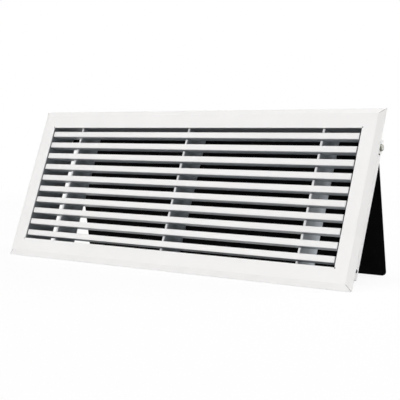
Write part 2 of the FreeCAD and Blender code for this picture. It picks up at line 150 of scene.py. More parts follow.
class Side(Place):
    """The four members of the frame, by the outward direction (x, z) of each."""

    TOP = (0, 1)
    BOTTOM = (0, -1)
    LEFT = (-1, 0)
    RIGHT = (1, 0)


class Corner(Place):
    """The four corners of the frame, by the signs of x and z."""

    TOP_LEFT = (-1, 1)
    TOP_RIGHT = (1, 1)
    BOTTOM_LEFT = (-1, -1)
    BOTTOM_RIGHT = (1, -1)


def put(name: str, data: bpy.types.ID) -> bpy.types.Object:
    """Puts a mesh, lamp or camera into the scene.

    Args:
        name: The object's name.
        data: The mesh, lamp or camera.

    Returns:
        The object.
    """
    made = bpy.data.objects.new(name, data)
    bpy.context.scene.collection.objects.link(made)
    return made


def put_facing(
    name: str, data: bpy.types.ID, place: Vector, direction: Vector
) -> bpy.types.Object:
    """Puts a lamp or camera into the scene and turns it.

    Args:
        name: The object's name.
        data: The lamp or camera.
        place: Where it stands.
        direction: The way that it faces.

    Returns:
        The object.
    """
    holder = put(name, data)
    holder.location = place
    holder.rotation_mode = "QUATERNION"
    holder.rotation_quaternion = direction.to_track_quat("-Z", "Y")
    return holder


# ---------------------------------------------------------------- where things are


@dataclass(frozen=True)
class Span:
    """A part's lowest and highest corner, in millimetres along the grille's own axes."""

    low: Vector
    high: Vector

    @property
    def middle(self) -> Vector:
        """The point half way between the two corners."""
        return (self.low + self.high) / 2

    @property
    def size(self) -> Vector:
        """The lengths of the three sides."""
        return self.high - self.low


@dataclass(frozen=True)
class Datum:
    """The grille's own axes, as they stand in the row frame."""

    placement: Matrix
    nodes: dict[str, bpy.types.Object]

    @classmethod
    def from_frame(cls, frame: dict) -> "Datum":
        """Finds the leaning axes from the sliding mount at the rear of the neck.


        Returns:
            The datum, with its origin in the middle of the opening at the face.
        """
        mount = next(m for m in frame["record"]["mounts"] if m["name"] == "neck_spigot")
        inward = Vector(mount["axis"]).normalized()
        across = Vector((1, 0, 0))
        upward = across.cross(inward)
        origin = Vector(mount["pos_m"]) - inward * NECK_DEPTH * MM
        turn = Matrix((across, inward, upward)).transposed().to_4x4()
        return cls(Matrix.Translation(origin) @ turn @ Matrix.Scale(MM, 4), frame["nodes"])

    @property
    def axes(self) -> tuple[Vector, Vector, Vector]:
        """The unit vectors along the grille's x, y and z, in the row frame."""
        return tuple(column.normalized() for column in self.placement.to_3x3().col)

    def span(self, node: str) -> Span:
        """Measures a CAD node along the grille's own axes.

        Args:
            node: The name of the CAD node.

        Returns:
            The node's span in millimetres.
        """
        back = self.placement.inverted()
        points = [back @ vertex.co for vertex in self.nodes[node].data.vertices]
        low = Vector(min(p[i] for p in points) for i in range(3))
        high = Vector(max(p[i] for p in points) for i in range(3))
        return Span(low, high)


# ---------------------------------------------------------------- finishes


class Wiring:
    """A node tree, filled node by node."""

    def __init__(self, tree: bpy.types.NodeTree) -> None:
        """Clears the tree."""
        self.tree = tree
        tree.nodes.clear()

    def add(self, kind: str, **settings: object) -> bpy.types.Node:
        """Adds a node.

        Args:
            kind: The node's type name.
            settings: Attributes of the node, set as they are named.

        Returns:
            The new node.
        """
        node = self.tree.nodes.new(kind)
        for name, value in settings.items():
            setattr(node, name, value)
        return node

    def join(self, source: bpy.types.NodeSocket, target: bpy.types.NodeSocket) -> None:
        """Joins an output socket to an input socket."""
        self.tree.links.new(source, target)

    def worked_out(self, kind: str, operation: str, terms: Sequence[object]) -> bpy.types.Node:
        """Adds a math node and gives it its terms.

        Args:
            kind: The node's type name.
            operation: What it works out.
            terms: Its terms in order, each a socket or a constant.

        Returns:
            The new node.
        """
        node = self.add(kind, operation=operation)
        for term, target in zip(terms, node.inputs):
            if isinstance(term, bpy.types.NodeSocket):
                self.join(term, target)
            else:
                target.default_value = term
        return node

    def math(self, operation: str, *terms: object) -> bpy.types.NodeSocket:
        """Works out a number from sockets or plain numbers."""
        return self.worked_out("ShaderNodeMath", operation, terms).outputs[0]

    def vector(self, operation: str, *terms: object) -> bpy.types.NodeSocket:
        """Works out a vector from sockets or plain vectors."""
        return self.worked_out("ShaderNodeVectorMath", operation, terms).outputs["Vector"]

    def measure(self, operation: str, *terms: object) -> bpy.types.NodeSocket:
        """Works out a number, such as a length, from sockets or plain vectors."""
        return self.worked_out("ShaderNodeVectorMath", operation, terms).outputs["Value"]

    def range(
        self,
        factor: bpy.types.NodeSocket,
        low: float,
        high: float,
        ends: Point2 = (0.3, 0.7),
    ) -> bpy.types.NodeSocket:
        """Maps a factor on to a range of numbers.

        Args:
            factor: What the number follows.
            low: The number where the factor is at the first end.
            high: The number where the factor is at the second end.
            ends: The two factor values.

        Returns:
            The mapped number.
        """
        mapped = self.add("ShaderNodeMapRange")
        names = ("From Min", "From Max", "To Min", "To Max")
        for name, value in zip(names, (*ends, low, high)):
            mapped.inputs[name].default_value = value
        self.join(factor, mapped.inputs["Value"])
        return mapped.outputs[0]

    def plain(
        self, kind: str, colour: Colour, strength: float | None = None
    ) -> bpy.types.NodeSocket:
        """Adds a shader of one colour.

        Args:
            kind: The node's type name.
            colour: The colour.
            strength: How strongly it shines, for one that gives light.

        Returns:
            The shader.
        """
        shader = self.add(kind)
        shader.inputs["Color"].default_value = (*colour, 1)
        if strength is not None:
            shader.inputs["Strength"].default_value = strength
        return shader.outputs[0]

    def blend(
        self,
        factor: bpy.types.NodeSocket,
        first: bpy.types.NodeSocket,
        second: bpy.types.NodeSocket,
    ) -> bpy.types.NodeSocket:
        """Mixes two shaders.

        Args:
            factor: The share of the second shader.
            first: The first shader.
            second: The second shader.

        Returns:
            The mixed shader.
        """
        mix = self.add("ShaderNodeMixShader")
        for source, target in zip((factor, first, second), mix.inputs):
            self.join(source, target)
        return mix.outputs[0]


class Bench(Wiring):
    """The nodes of one material with a principled shader."""

    def __init__(self, name: str) -> None:
        """Starts a material with its shader joined up.

        Args:
            name: The material's name.
        """
        self.material = bpy.data.materials.new(name)
        self.material.use_nodes = True
        super().__init__(self.material.node_tree)
        output = self.add("ShaderNodeOutputMaterial")
        self.shader = self.add("ShaderNodeBsdfPrincipled")
        self.join(self.shader.outputs[0], output.inputs["Surface"])
        self.place = self.add("ShaderNodeTexCoord").outputs["Object"]

    def set(self, **values: object) -> None:
        """Sets the shader's own sockets, named with underscores for blanks."""
        for name, value in values.items():
            self.shader.inputs[name.replace("_", " ")].default_value = value

    def cover(self, colour: bpy.types.NodeSocket, roughness: bpy.types.NodeSocket) -> None:
        """Gives the shader its colour and its roughness."""
        self.join(colour, self.shader.inputs["Base Color"])
        self.join(roughness, self.shader.inputs["Roughness"])

    def stretched(self, factors: Point3) -> bpy.types.NodeSocket:
        """Scales the piece's own coordinates.

        Args:
            factors: The scale along x, y and z.

        Returns:
            The scaled coordinates.
        """
        mapping = self.add("ShaderNodeMapping")
        mapping.inputs["Scale"].default_value = factors
        self.join(self.place, mapping.inputs["Vector"])
        return mapping.outputs[0]

    def grain(
        self, size_mm: float, detail: float, place: bpy.types.NodeSocket | None = None
    ) -> bpy.types.NodeSocket:
        """A noise whose lumps are about a given size.

        Args:
            size_mm: The size of a lump in millimetres.
            detail: How many finer octaves it carries.
            place: The coordinates to use, or the piece's own.

        Returns:
            The noise, from 0 to 1.
        """
        texture = self.add("ShaderNodeTexNoise")
        texture.inputs["Scale"].default_value = 1 / (size_mm * MM)
        texture.inputs["Detail"].default_value = detail
        self.join(place or self.place, texture.inputs["Vector"])
        return texture.outputs[0]

    def shades(
        self,
        factor: bpy.types.NodeSocket,
        colour: Colour,
        shares: Point2,
        ends: Point2 = (0.3, 0.7),
    ) -> bpy.types.NodeSocket:
        """Blends a darker and a lighter shade of one colour.

        Args:
            factor: What the blend follows.
            colour: The colour.
            shares: The brightness of the two shades, as shares of the colour's.
            ends: The factor's value at each shade.

        Returns:
            The blended colour.
        """
        ramp = self.add("ShaderNodeValToRGB")
        for stop, position, share in zip(ramp.color_ramp.elements, ends, shares):
            stop.position = position
            stop.color = (*shaded(colour, share), 1)
        self.join(factor, ramp.inputs[0])
        return ramp.outputs[0]

    def reach(self, origin: Vector, direction: Vector) -> bpy.types.NodeSocket:
        """How far a point of the surface lies from an origin along a unit vector, in metres."""
        return self.measure("DOT_PRODUCT", self.vector("SUBTRACT", self.place, origin), direction)

    def mixed(
        self,
        factor: bpy.types.NodeSocket,
        first: bpy.types.NodeSocket,
        second: bpy.types.NodeSocket,
    ) -> bpy.types.NodeSocket:
        """Mixes two colours that both vary.

        Args:
            factor: The share of the second colour.
            first: The first colour.
            second: The second colour.

        Returns:
            The mixed colour.
        """
        mix = self.add("ShaderNodeMix", data_type="RGBA")
        # The node has a set of sockets for each kind of value. These are the ones for colours.
        share, low, high, result = mix.inputs[0], mix.inputs[6], mix.inputs[7], mix.outputs[2]
        for source, target in ((factor, share), (first, low), (second, high)):
            self.join(source, target)
        return result

    def raise_surface(
        self,
        height: bpy.types.NodeSocket,
        depth_mm: float,
        under: bpy.types.NodeSocket | None = None,
    ) -> bpy.types.NodeSocket:
        """Raises the surface by a height from 0 to 1.

        Args:
            height: The height.
            depth_mm: The depth of the full height in millimetres.
            under: A bumped normal to build on.

        Returns:
            The bumped normal, which is also joined to the shader.
        """
        bump = self.add("ShaderNodeBump")
        bump.inputs["Distance"].default_value = depth_mm * MM
        self.join(height, bump.inputs["Height"])
        if under is not None:
            self.join(under, bump.inputs["Normal"])
        self.join(bump.outputs[0], self.shader.inputs["Normal"])
        return bump.outputs[0]


def shaded(colour: Colour, factor: float) -> Colour:
    """Makes a colour lighter or darker, and keeps it within range."""
    return tuple(min(1.0, max(0.0, part * factor)) for part in colour)


@dataclass(frozen=True)
class PaintedShade:
    """Painted shade: a darker colour behind a depth, and inside the neck's walls, where little
    light reaches; with painted light towards the back, where light comes in from behind.
    """

    datum: Datum
    colour: Colour
    start: float
    end: float
    half_x: float = NO_LIMIT
    half_z: float = NO_LIMIT
    rear_light_start: float = 0.0
    rear_light_end: float = 0.0
    painted_rear_light: float = 1.0
    patch_mm: float = 12.0
    drift: Point2 = (0.9, 1.1)

    def depth_share(self, bench: Bench, start: float, end: float) -> bpy.types.NodeSocket:
        """Follows the depth behind the face, from 0 at one depth to 1 at another."""
        depth = bench.reach(self.datum.placement.translation, self.datum.axes[1])
        return bench.range(depth, 0.0, 1.0, (start * MM, end * MM))

    def tone(self, bench: Bench) -> bpy.types.NodeSocket:
        """Builds the painted shade's colour.

        Args:
            bench: The material that it belongs to.

        Returns:
            A patchy colour of painted shade, made lighter towards the back as painted light, where
            light comes in from behind.
        """
        patches = bench.grain(self.patch_mm, 3)
        colour = bench.shades(patches, self.colour, self.drift)
        if self.painted_rear_light == 1.0:
            return colour
        # Painted light: the shade is made lighter towards the back, where light comes in from
        # behind.
        near_back = self.depth_share(bench, self.rear_light_start, self.rear_light_end)
        light = bench.shades(patches, shaded(self.colour, self.painted_rear_light), self.drift)
        return bench.mixed(near_back, colour, light)

    def share(self, bench: Bench) -> bpy.types.NodeSocket:
        """Builds the share of the painted shade.

        Args:
            bench: The material that it belongs to.

        Returns:
            The share, from 0 on the face to 1 deep inside.
        """
        across, _, upward = self.datum.axes
        share = self.depth_share(bench, self.start, self.end)
        for direction, half in ((across, self.half_x), (upward, self.half_z)):
            reach = bench.reach(self.datum.placement.translation, direction)
            within = bench.math("LESS_THAN", bench.math("ABSOLUTE", reach), half * MM)
            share = bench.math("MULTIPLY", share, within)
        return share


@dataclass(frozen=True)
class SprayedCoat:
    """A baked powder coat: even colour, orange-peel surface and faint drift in its gloss."""

    name: str
    colour: Colour
    roughness: float
    drift: float = 0.02
    gloss_drift: float = 0.05
    cloud_mm: float = 35.0
    gloss_patch_mm: float = 9.0
    peel_mm: float = 1.4
    peel_depth_mm: float = 0.012
    dust_mm: float = 0.25
    dust_share: float = 1 / 6
    specular: float = 0.5
    along: Point3 = (1.0, 1.0, 1.0)
    painted_shade: PaintedShade | None = None

    def material(self) -> bpy.types.Material:
        """Makes the coat's material.

        Returns:
            The material.
        """
        bench = Bench(self.name)
        bench.set(Metallic=0.0, Specular_IOR_Level=self.specular)
        place = bench.stretched(self.along)
        cloud = bench.grain(self.cloud_mm, 3, place)
        colour = bench.shades(cloud, self.colour, (1 - self.drift, 1 + self.drift))
        # Painted shade is mixed in where the coat lies deep or inside the neck.
        if self.painted_shade:
            colour = bench.mixed(self.painted_shade.share(bench), colour, self.painted_shade.tone(bench))
        patch = bench.grain(self.gloss_patch_mm, 2, place)
        low, high = self.roughness - self.gloss_drift, self.roughness + self.gloss_drift
        bench.cover(colour, bench.range(patch, low, high))
        peel = bench.raise_surface(bench.grain(self.peel_mm, 1.5, place), self.peel_depth_mm)
        dust = bench.grain(self.dust_mm, 1)
        bench.raise_surface(dust, self.peel_depth_mm * self.dust_share, peel)
        return bench.material


@dataclass(frozen=True)
class PlatedSteel:
    """Zinc-plated steel with painted reflections: a painted bright reflection round its axis and a
    painted dark reflection outside it, with turning marks.
    """

    name: str
    axis: Vector
    # Colours and reach of the painted bright and dark reflections.
    bright: Colour
    dark_reflection: Colour
    roughness: Point2
    bright_reflection_radius: float = 1.2
    dark_reflection_radius: float = 2.0
    mottle_mm: float = 0.8
    bright_reflection_drift: Point2 = (0.85, 1.05)
    dark_reflection_drift: Point2 = (0.7, 1.3)
    gloss_patch_mm: float = 0.5
    turning_mm: float = 0.16
    turning_depth_mm: float = 0.006
    turning_along: Point3 = (2.5, 0.35, 0.35)

    def material(self) -> bpy.types.Material:
        """Makes the plating's material.

        Returns:
            The material.
        """
        bench = Bench(self.name)
        bench.set(Metallic=1.0)
        # Painted reflection: the colour is bright near the screw's axis and dark on the flanks
        # further out.
        aside = bench.vector("SUBTRACT", bench.place, self.axis)
        radius = bench.measure("LENGTH", bench.vector("MULTIPLY", aside, (0.0, 1.0, 1.0)))
        reflection_share = bench.range(radius, 0.0, 1.0, (self.bright_reflection_radius * MM, self.dark_reflection_radius * MM))
        mottle = bench.grain(self.mottle_mm, 3)
        bright_reflection_colour = bench.shades(mottle, self.bright, self.bright_reflection_drift)
        dark_reflection_colour = bench.shades(mottle, self.dark_reflection, self.dark_reflection_drift)
        rough = bench.range(bench.grain(self.gloss_patch_mm, 2), *self.roughness)
        bench.cover(bench.mixed(reflection_share, bright_reflection_colour, dark_reflection_colour), rough)
        turning = bench.grain(self.turning_mm, 1, bench.stretched(self.turning_along))
        bench.raise_surface(turning, self.turning_depth_mm)
        return bench.material


@dataclass(frozen=True)
class DrawnAluminium:
    """Bare aluminium with drawing marks along one direction and a matt oxide bloom."""

    name: str
    colour: Colour
    roughness: Point2
    along: Point3
    drift: Point2 = (0.8, 1.08)
    drift_ends: Point2 = (0.12, 0.4)
    mark_mm: float = 0.5
    mark_depth_mm: float = 0.01
    bloom_mm: float = 6.0

    def material(self) -> bpy.types.Material:
        """Makes the aluminium's material.

        Returns:
            The material.
        """
        bench = Bench(self.name)
        bench.set(Metallic=1.0)
        marks = bench.grain(self.mark_mm, 3, bench.stretched(self.along))
        bloom = bench.grain(self.bloom_mm, 3)
        blend = bench.math("MULTIPLY", marks, bloom)
        colour = bench.shades(blend, self.colour, self.drift, self.drift_ends)
        bench.cover(colour, bench.range(bloom, *self.roughness))
        bench.raise_surface(marks, self.mark_depth_mm)
        return bench.material


@dataclass(frozen=True)
class MouldedNylon:
    """Natural nylon: milky, faintly uneven in tone, with a fine moulded texture."""

    name: str
    colour: Colour
    roughness: Point2
    drift: Point2 = (0.95, 1.03)
    cloud_mm: float = 3.0
    gloss_patch_mm: float = 1.0
    texture_mm: float = 0.3
    texture_depth_mm: float = 0.01
    milk: float = 0.15
    milk_reach: float = 0.0008
    ior: float = 1.53

    def material(self) -> bpy.types.Material:
        """Makes the nylon's material.

        Returns:
            The material.
        """
        bench = Bench(self.name)
        bench.set(Metallic=0.0, IOR=self.ior)
        bench.set(Subsurface_Weight=self.milk, Subsurface_Scale=self.milk_reach)
        colour = bench.shades(bench.grain(self.cloud_mm, 2), self.colour, self.drift)
        bench.cover(colour, bench.range(bench.grain(self.gloss_patch_mm, 2), *self.roughness))
        bench.raise_surface(bench.grain(self.texture_mm, 2), self.texture_depth_mm)
        return bench.material


@dataclass(frozen=True)
class CellFoam:
    """Closed-cell foam: small open pits, painted darker in their middles as painted shade, over a
    soft, matt dark skin.
    """

    name: str
    colour: Colour
    roughness: Point2
    drift: Point2 = (0.45, 1.3)
    drift_ends: Point2 = (0.05, 0.5)
    cell_mm: float = 0.9
    pit_depth_mm: float = 0.18
    lump_mm: float = 5.0
    lump_depth_mm: float = 0.12
    gloss_patch_mm: float = 4.0

    def material(self) -> bpy.types.Material:
        """Makes the foam's material.

        Returns:
            The material.
        """
        bench = Bench(self.name)
        bench.set(Metallic=0.0, Specular_IOR_Level=0.2, Sheen_Weight=0.1)
        cells = bench.add("ShaderNodeTexVoronoi")
        cells.inputs["Scale"].default_value = 1 / (self.cell_mm * MM)
        bench.join(bench.place, cells.inputs["Vector"])
        pits = cells.outputs["Distance"]
        # Painted shade: the colour is darker towards the middle of each pit.
        colour = bench.shades(pits, self.colour, self.drift, self.drift_ends)
        bench.cover(colour, bench.range(bench.grain(self.gloss_patch_mm, 2), *self.roughness))
        lumps = bench.raise_surface(bench.grain(self.lump_mm, 2), self.lump_depth_mm)
        bench.raise_surface(pits, self.pit_depth_mm, lumps)
        return bench.material


@dataclass(frozen=True)
class Finishes:
    """Every finish on the grille, made once and shared."""

    frame: bpy.types.Material
    # The top member's coat, with a darker painted shade on its downward-facing inner wall.
    frame_top: bpy.types.Material
    bar: bpy.types.Material
    mullion: bpy.types.Material
    flap: bpy.types.Material
    steel: bpy.types.Material
    rivet: bpy.types.Material
    key: bpy.types.Material
    foam: bpy.types.Material
    nylon: bpy.types.Material
    joint: bpy.types.Material
    rubber: bpy.types.Material

    @staticmethod
    def frame_coat(datum: Datum, name: str, inner_shade_colour: Colour) -> bpy.types.Material:
        """Makes a frame member's coat, with painted shade on the neck's inner side.

        Args:
            datum: Where the grille's axes lie.
            name: The material's name.
            inner_shade_colour: The colour of the painted shade on the neck's inner side.

        Returns:
            The material.
        """
        inside = LIP_OVERHANG + NECK_WALL - SHADE_MARGIN
        painted_shade = PaintedShade(
            datum, inner_shade_colour, start=0.2, end=1.4,
            half_x=inside - datum.span("frame_left").high.x,
            half_z=inside + datum.span("frame_top").low.z,
        )
        return SprayedCoat(name, (0.867, 0.858, 0.85), 0.42, drift=0.014, painted_shade=painted_shade).material()

    @classmethod
    def make(cls, datum: Datum) -> "Finishes":
        """Makes all the materials.

        Args:
            datum: Where the grille's axes lie.

        Returns:
            The finishes.
        """
        # The colour of painted shade deep inside the grille.
        shade_grey = (0.28, 0.3, 0.32)
        return cls(
            # The top member's inner wall faces down and gets a darker painted shade than the
            # others.
            frame=cls.frame_coat(datum, "satin_white_frame_coat", shaded(shade_grey, 0.95)),
            frame_top=cls.frame_coat(datum, "satin_white_top_coat_painted_shade", shaded(shade_grey, 0.5)),
            bar=SprayedCoat(
                "satin_white_bar_coat", (0.876, 0.868, 0.86), 0.4,
                peel_mm=1.1, along=(0.25, 1.0, 1.0),
                # Painted shade on each bar behind its front face: on its top, its underside and
                # its rear.
                painted_shade=PaintedShade(datum, shade_grey, start=1.6, end=3.3),
            ).material(),
            mullion=SprayedCoat(
                "satin_white_mullion_coat", (0.84, 0.845, 0.85), 0.45,
                peel_mm=1.0,
                # Painted shade on the mullions' sides behind their front edges, and painted light
                # making them lighter towards the back, where light comes in from behind.
                painted_shade=PaintedShade(
                    datum, shaded(shade_grey, 1.3), start=3.9, end=6.0,
                    rear_light_start=17.0, rear_light_end=27.0, painted_rear_light=1.75,
                ),
            ).material(),
            flap=SprayedCoat(
                "matt_black_flap_coat", (0.0025, 0.0025, 0.0026), 0.7,
                drift=0.3, peel_mm=0.7, peel_depth_mm=0.02, specular=0.035,
            ).material(),
            # The screws' and nuts' plating, with painted reflections.
            steel=PlatedSteel(
                "zinc_plating_painted_reflection",
                axis=datum.placement @ datum.span("pivot_screw_left").middle,
                bright=(0.82, 0.82, 0.78), dark_reflection=(0.2, 0.2, 0.175), roughness=(0.18, 0.32),
            ).material(),
            rivet=DrawnAluminium(
                "rivet_aluminium", (0.75, 0.76, 0.77), roughness=(0.3, 0.48), along=(1.0, 1.0, 1.0)
            ).material(),
            key=DrawnAluminium(
                "mill_finish_aluminium", (0.7, 0.71, 0.72), roughness=(0.32, 0.5),
                along=(0.06, 1.0, 1.0),
            ).material(),
            foam=CellFoam(
                "dark_sealing_foam", (0.05, 0.05, 0.05), roughness=(0.82, 0.95)
            ).material(),
            nylon=MouldedNylon(
                "natural_nylon", (0.86, 0.86, 0.84), roughness=(0.4, 0.53)
            ).material(),
            # Painted shade for the open mitres down the bevel.
            joint=SprayedCoat(
                "painted_mitre_gap_shade", (0.3, 0.295, 0.285), 0.7, drift=0.3, specular=0.1
            ).material(),
            # The colour of the dark mark under the washer.
            rubber=SprayedCoat(
                "black_stop_rubber", (0.02, 0.02, 0.02), 0.75, drift=0.25, specular=0.2
            ).material(),
        )


# ---------------------------------------------------------------- shaping


def arc(centre: Point2, radius: float, start: float, stop: float, steps: int) -> list[Point2]:
    """Lays points along an arc.

    Args:
        centre: The arc's centre.
        radius: Its radius.
        start: The angle in degrees where it begins.
        stop: The angle in degrees where it ends.
        steps: How many straight runs it has.

    Returns:
        The points in order, with both ends.
    """
    angles = [math.radians(start + (stop - start) * step / steps) for step in range(steps + 1)]
    return [
        (centre[0] + radius * math.cos(angle), centre[1] + radius * math.sin(angle))
        for angle in angles
    ]


def rounded_box(
    low_a: float, high_a: float, low_b: float, high_b: float, radius: float, steps: int
) -> list[Point2]:
    """Outlines a rectangle with rounded corners.

    Args:
        low_a: The lowest first coordinate.
        high_a: The highest first coordinate.
        low_b: The lowest second coordinate.
        high_b: The highest second coordinate.
        radius: The radius of the corners.
        steps: How many straight runs make a corner.

    Returns:
        The outline's points in order.
    """
    left, right, bottom, top = low_a + radius, high_a - radius, low_b + radius, high_b - radius
    corners = (((right, top), 0), ((left, top), 90), ((left, bottom), 180), ((right, bottom), 270))
    return [p for centre, turn in corners for p in arc(centre, radius, turn, turn + 90, steps)]


class Shape:
    """A mesh under construction, in millimetres along the grille's own axes."""

    def __init__(self) -> None:
        """Starts with nothing."""
        self.mesh = bmesh.new()

    @classmethod
    def from_node(cls, datum: Datum, node: str) -> "Shape":
        """Copies a CAD node as clean flat faces.

        Args:
            datum: Where the grille's axes lie.
            node: The CAD node's name.

        Returns:
            The copy.
        """
        shape = cls()
        shape.mesh.from_mesh(datum.nodes[node].data)
        shape.mesh.transform(datum.placement.inverted())
        bmesh.ops.remove_doubles(shape.mesh, verts=shape.mesh.verts, dist=WELD)
        return shape.clean()

    def face_outwards(self) -> "Shape":
        """Turns all faces outwards."""
        bmesh.ops.recalc_face_normals(self.mesh, faces=self.mesh.faces)
        return self

    def clean(self) -> "Shape":
        """Joins neighbouring flat faces and turns all faces outwards.

        Returns:
            The same shape.
        """
        limit = math.radians(FLAT_ANGLE)
        bmesh.ops.dissolve_limit(
            self.mesh, angle_limit=limit, verts=self.mesh.verts, edges=self.mesh.edges
        )
        return self.face_outwards()

    def loop(self, points: Iterable[Vector]) -> list[bmesh.types.BMVert]:
        """Adds points to the mesh, with no faces yet."""
        return [self.mesh.verts.new(point) for point in points]

    def bridge(self, near: list[bmesh.types.BMVert], far: list[bmesh.types.BMVert]) -> None:
        """Joins two closed loops by a band of faces.

        Args:
            near: The first loop.
            far: The second loop, of as many points. Either may be a single point.
        """
        count = max(len(near), len(far))
        for i in range(count):
            j = (i + 1) % count
            corners = (
                near[i % len(near)], near[j % len(near)], far[j % len(far)], far[i % len(far)]
            )
            self.mesh.faces.new(list(dict.fromkeys(corners)))

    def plate(self, outline: Sequence[Vector], sweep: Vector) -> "Shape":
        """Adds a flat plate.

        Args:
            outline: The corners of one face, in order.
            sweep: The way from that face to the opposite one.

        Returns:
            The same shape.
        """
        near = self.loop(outline)
        far = self.loop(point + sweep for point in outline)
        for a, b, c in tessellate_polygon([outline]):
            self.mesh.faces.new((near[a], near[b], near[c]))
            self.mesh.faces.new((far[c], far[b], far[a]))
        self.bridge(near, far)
        return self.clean()

    def lofted(self, outlines: Sequence[Sequence[Vector]]) -> "Shape":
        """Adds a solid that runs through a row of outlines and is flat at both ends.

        Args:
            outlines: The outlines, each with as many corners in the same order.

        Returns:
            The same shape.
        """
        rows = [self.loop(outline) for outline in outlines]
        for near, far in zip(rows, rows[1:]):
            self.bridge(near, far)
        for end in (rows[0], rows[-1]):
            self.mesh.faces.new(end)
        return self.face_outwards()

    def turned(
        self,
        profile: Sequence[Point2],
        place: Matrix,
        steps: int = 48,
        trim: Callable[[float, float, float], float] | None = None,
        ring: bool = False,
    ) -> "Shape":
        """Adds a turned solid round the z axis of a placement.

        Args:
            profile: Pairs of radius and height along the outline.
            place: Where the turning axis lies, along z.
            steps: How many steps go round.
            trim: Gives the radius from the angle, the profile's radius and the height.
            ring: Whether the profile closes on itself, as for a washer.

        Returns:
            The same shape.
        """
        rows = []
        for radius, height in profile:
            points = []
            for step in range(steps if radius > TOUCH else 1):
                angle = 2 * math.pi * step / steps
                reach = trim(angle, radius, height) if trim and radius > TOUCH else radius
                points.append(Vector((reach * math.cos(angle), reach * math.sin(angle), height)))
            rows.append(self.loop(place @ point for point in points))
        if ring:
            rows.append(rows[0])
        for lower, upper in zip(rows, rows[1:]):
            self.bridge(lower, upper)
        return self.face_outwards()

    def soften(
        self, radius: float, steps: int = 2, chosen: Callable[[Vector, Vector], bool] | None = None
    ) -> "Shape":
        """Rounds sharp edges.

        Args:
            radius: The width of the rounding in millimetres.
            steps: How many faces go round each edge.
            chosen: Tells from an edge's two ends whether it is rounded.

        Returns:
            The same shape.
        """
        edges = [
            edge
            for edge in self.mesh.edges
            if len(edge.link_faces) == 2
            and edge.calc_face_angle(0) > math.radians(SHARP_ANGLE)
            and (chosen is None or chosen(edge.verts[0].co, edge.verts[1].co))
        ]
        bmesh.ops.bevel(
            self.mesh,
            geom=edges,
            offset=radius,
            offset_type="OFFSET",
            segments=steps,
            profile=0.5,
            affect="EDGES",
            clamp_overlap=True,
        )
        return self

    def cut(self, cutter: "Shape") -> "Shape":
        """Takes another shape's volume out of this one.

        Args:
            cutter: The shape to take away.

        Returns:
            The same shape.
        """
        stock, tool = self.loose_object("stock"), cutter.loose_object("tool")
        bite = stock.modifiers.new("bite", "BOOLEAN")
        bite.operation = "DIFFERENCE"
        bite.solver = "EXACT"
        bite.object = tool
        bpy.context.view_layer.update()
        cut_stock = stock.evaluated_get(bpy.context.evaluated_depsgraph_get())
        result = bpy.data.meshes.new_from_object(cut_stock)
        self.mesh.clear()
        self.mesh.from_mesh(result)
        bmesh.ops.remove_doubles(self.mesh, verts=self.mesh.verts, dist=CUT_WELD)
        bpy.data.objects.remove(stock)
        bpy.data.objects.remove(tool)
        return self

    def sliced(self, point: Vector, outward: Vector) -> "Shape":
        """Cuts off what lies beyond a plane and closes the cut.

        Args:
            point: A point of the plane.
            outward: The way to the part that goes.

        Returns:
            The same shape.
        """
        whole = [*self.mesh.verts, *self.mesh.edges, *self.mesh.faces]
        bmesh.ops.bisect_plane(
            self.mesh, geom=whole, dist=PLANE_TOUCH, plane_co=point, plane_no=outward,
            clear_outer=True,
        )
        rim = [edge for edge in self.mesh.edges if edge.is_boundary]
        bmesh.ops.holes_fill(self.mesh, edges=rim)
        return self.face_outwards()

    def loose_object(self, name: str) -> bpy.types.Object:
        """Makes a plain object of the mesh as it is, for use as stock or tool.

        Args:
            name: The object's name.

        Returns:
            The object.
        """
        data = bpy.data.meshes.new(name)
        self.mesh.to_mesh(data)
        return put(name, data)

    def ripple(self, depth: float, size: float) -> "Shape":
        """Moves each point a little, by a smooth noise.

        Args:
            depth: The furthest that a point moves, in millimetres.
            size: The size of the noise's lumps in millimetres.

        Returns:
            The same shape.
        """
        noise.seed_set(RIPPLE_SEED)
        for vertex in self.mesh.verts:
            vertex.co += noise.noise_vector(vertex.co / size) * depth
        return self

    def kept_within(self, span: Span) -> "Shape":
        """Moves each point that lies outside a span on to its boundary.

        Args:
            span: The span to keep to.

        Returns:
            The same shape.
        """
        for vertex in self.mesh.verts:
            for axis in range(3):
                vertex.co[axis] = min(max(vertex.co[axis], span.low[axis]), span.high[axis])
        return self


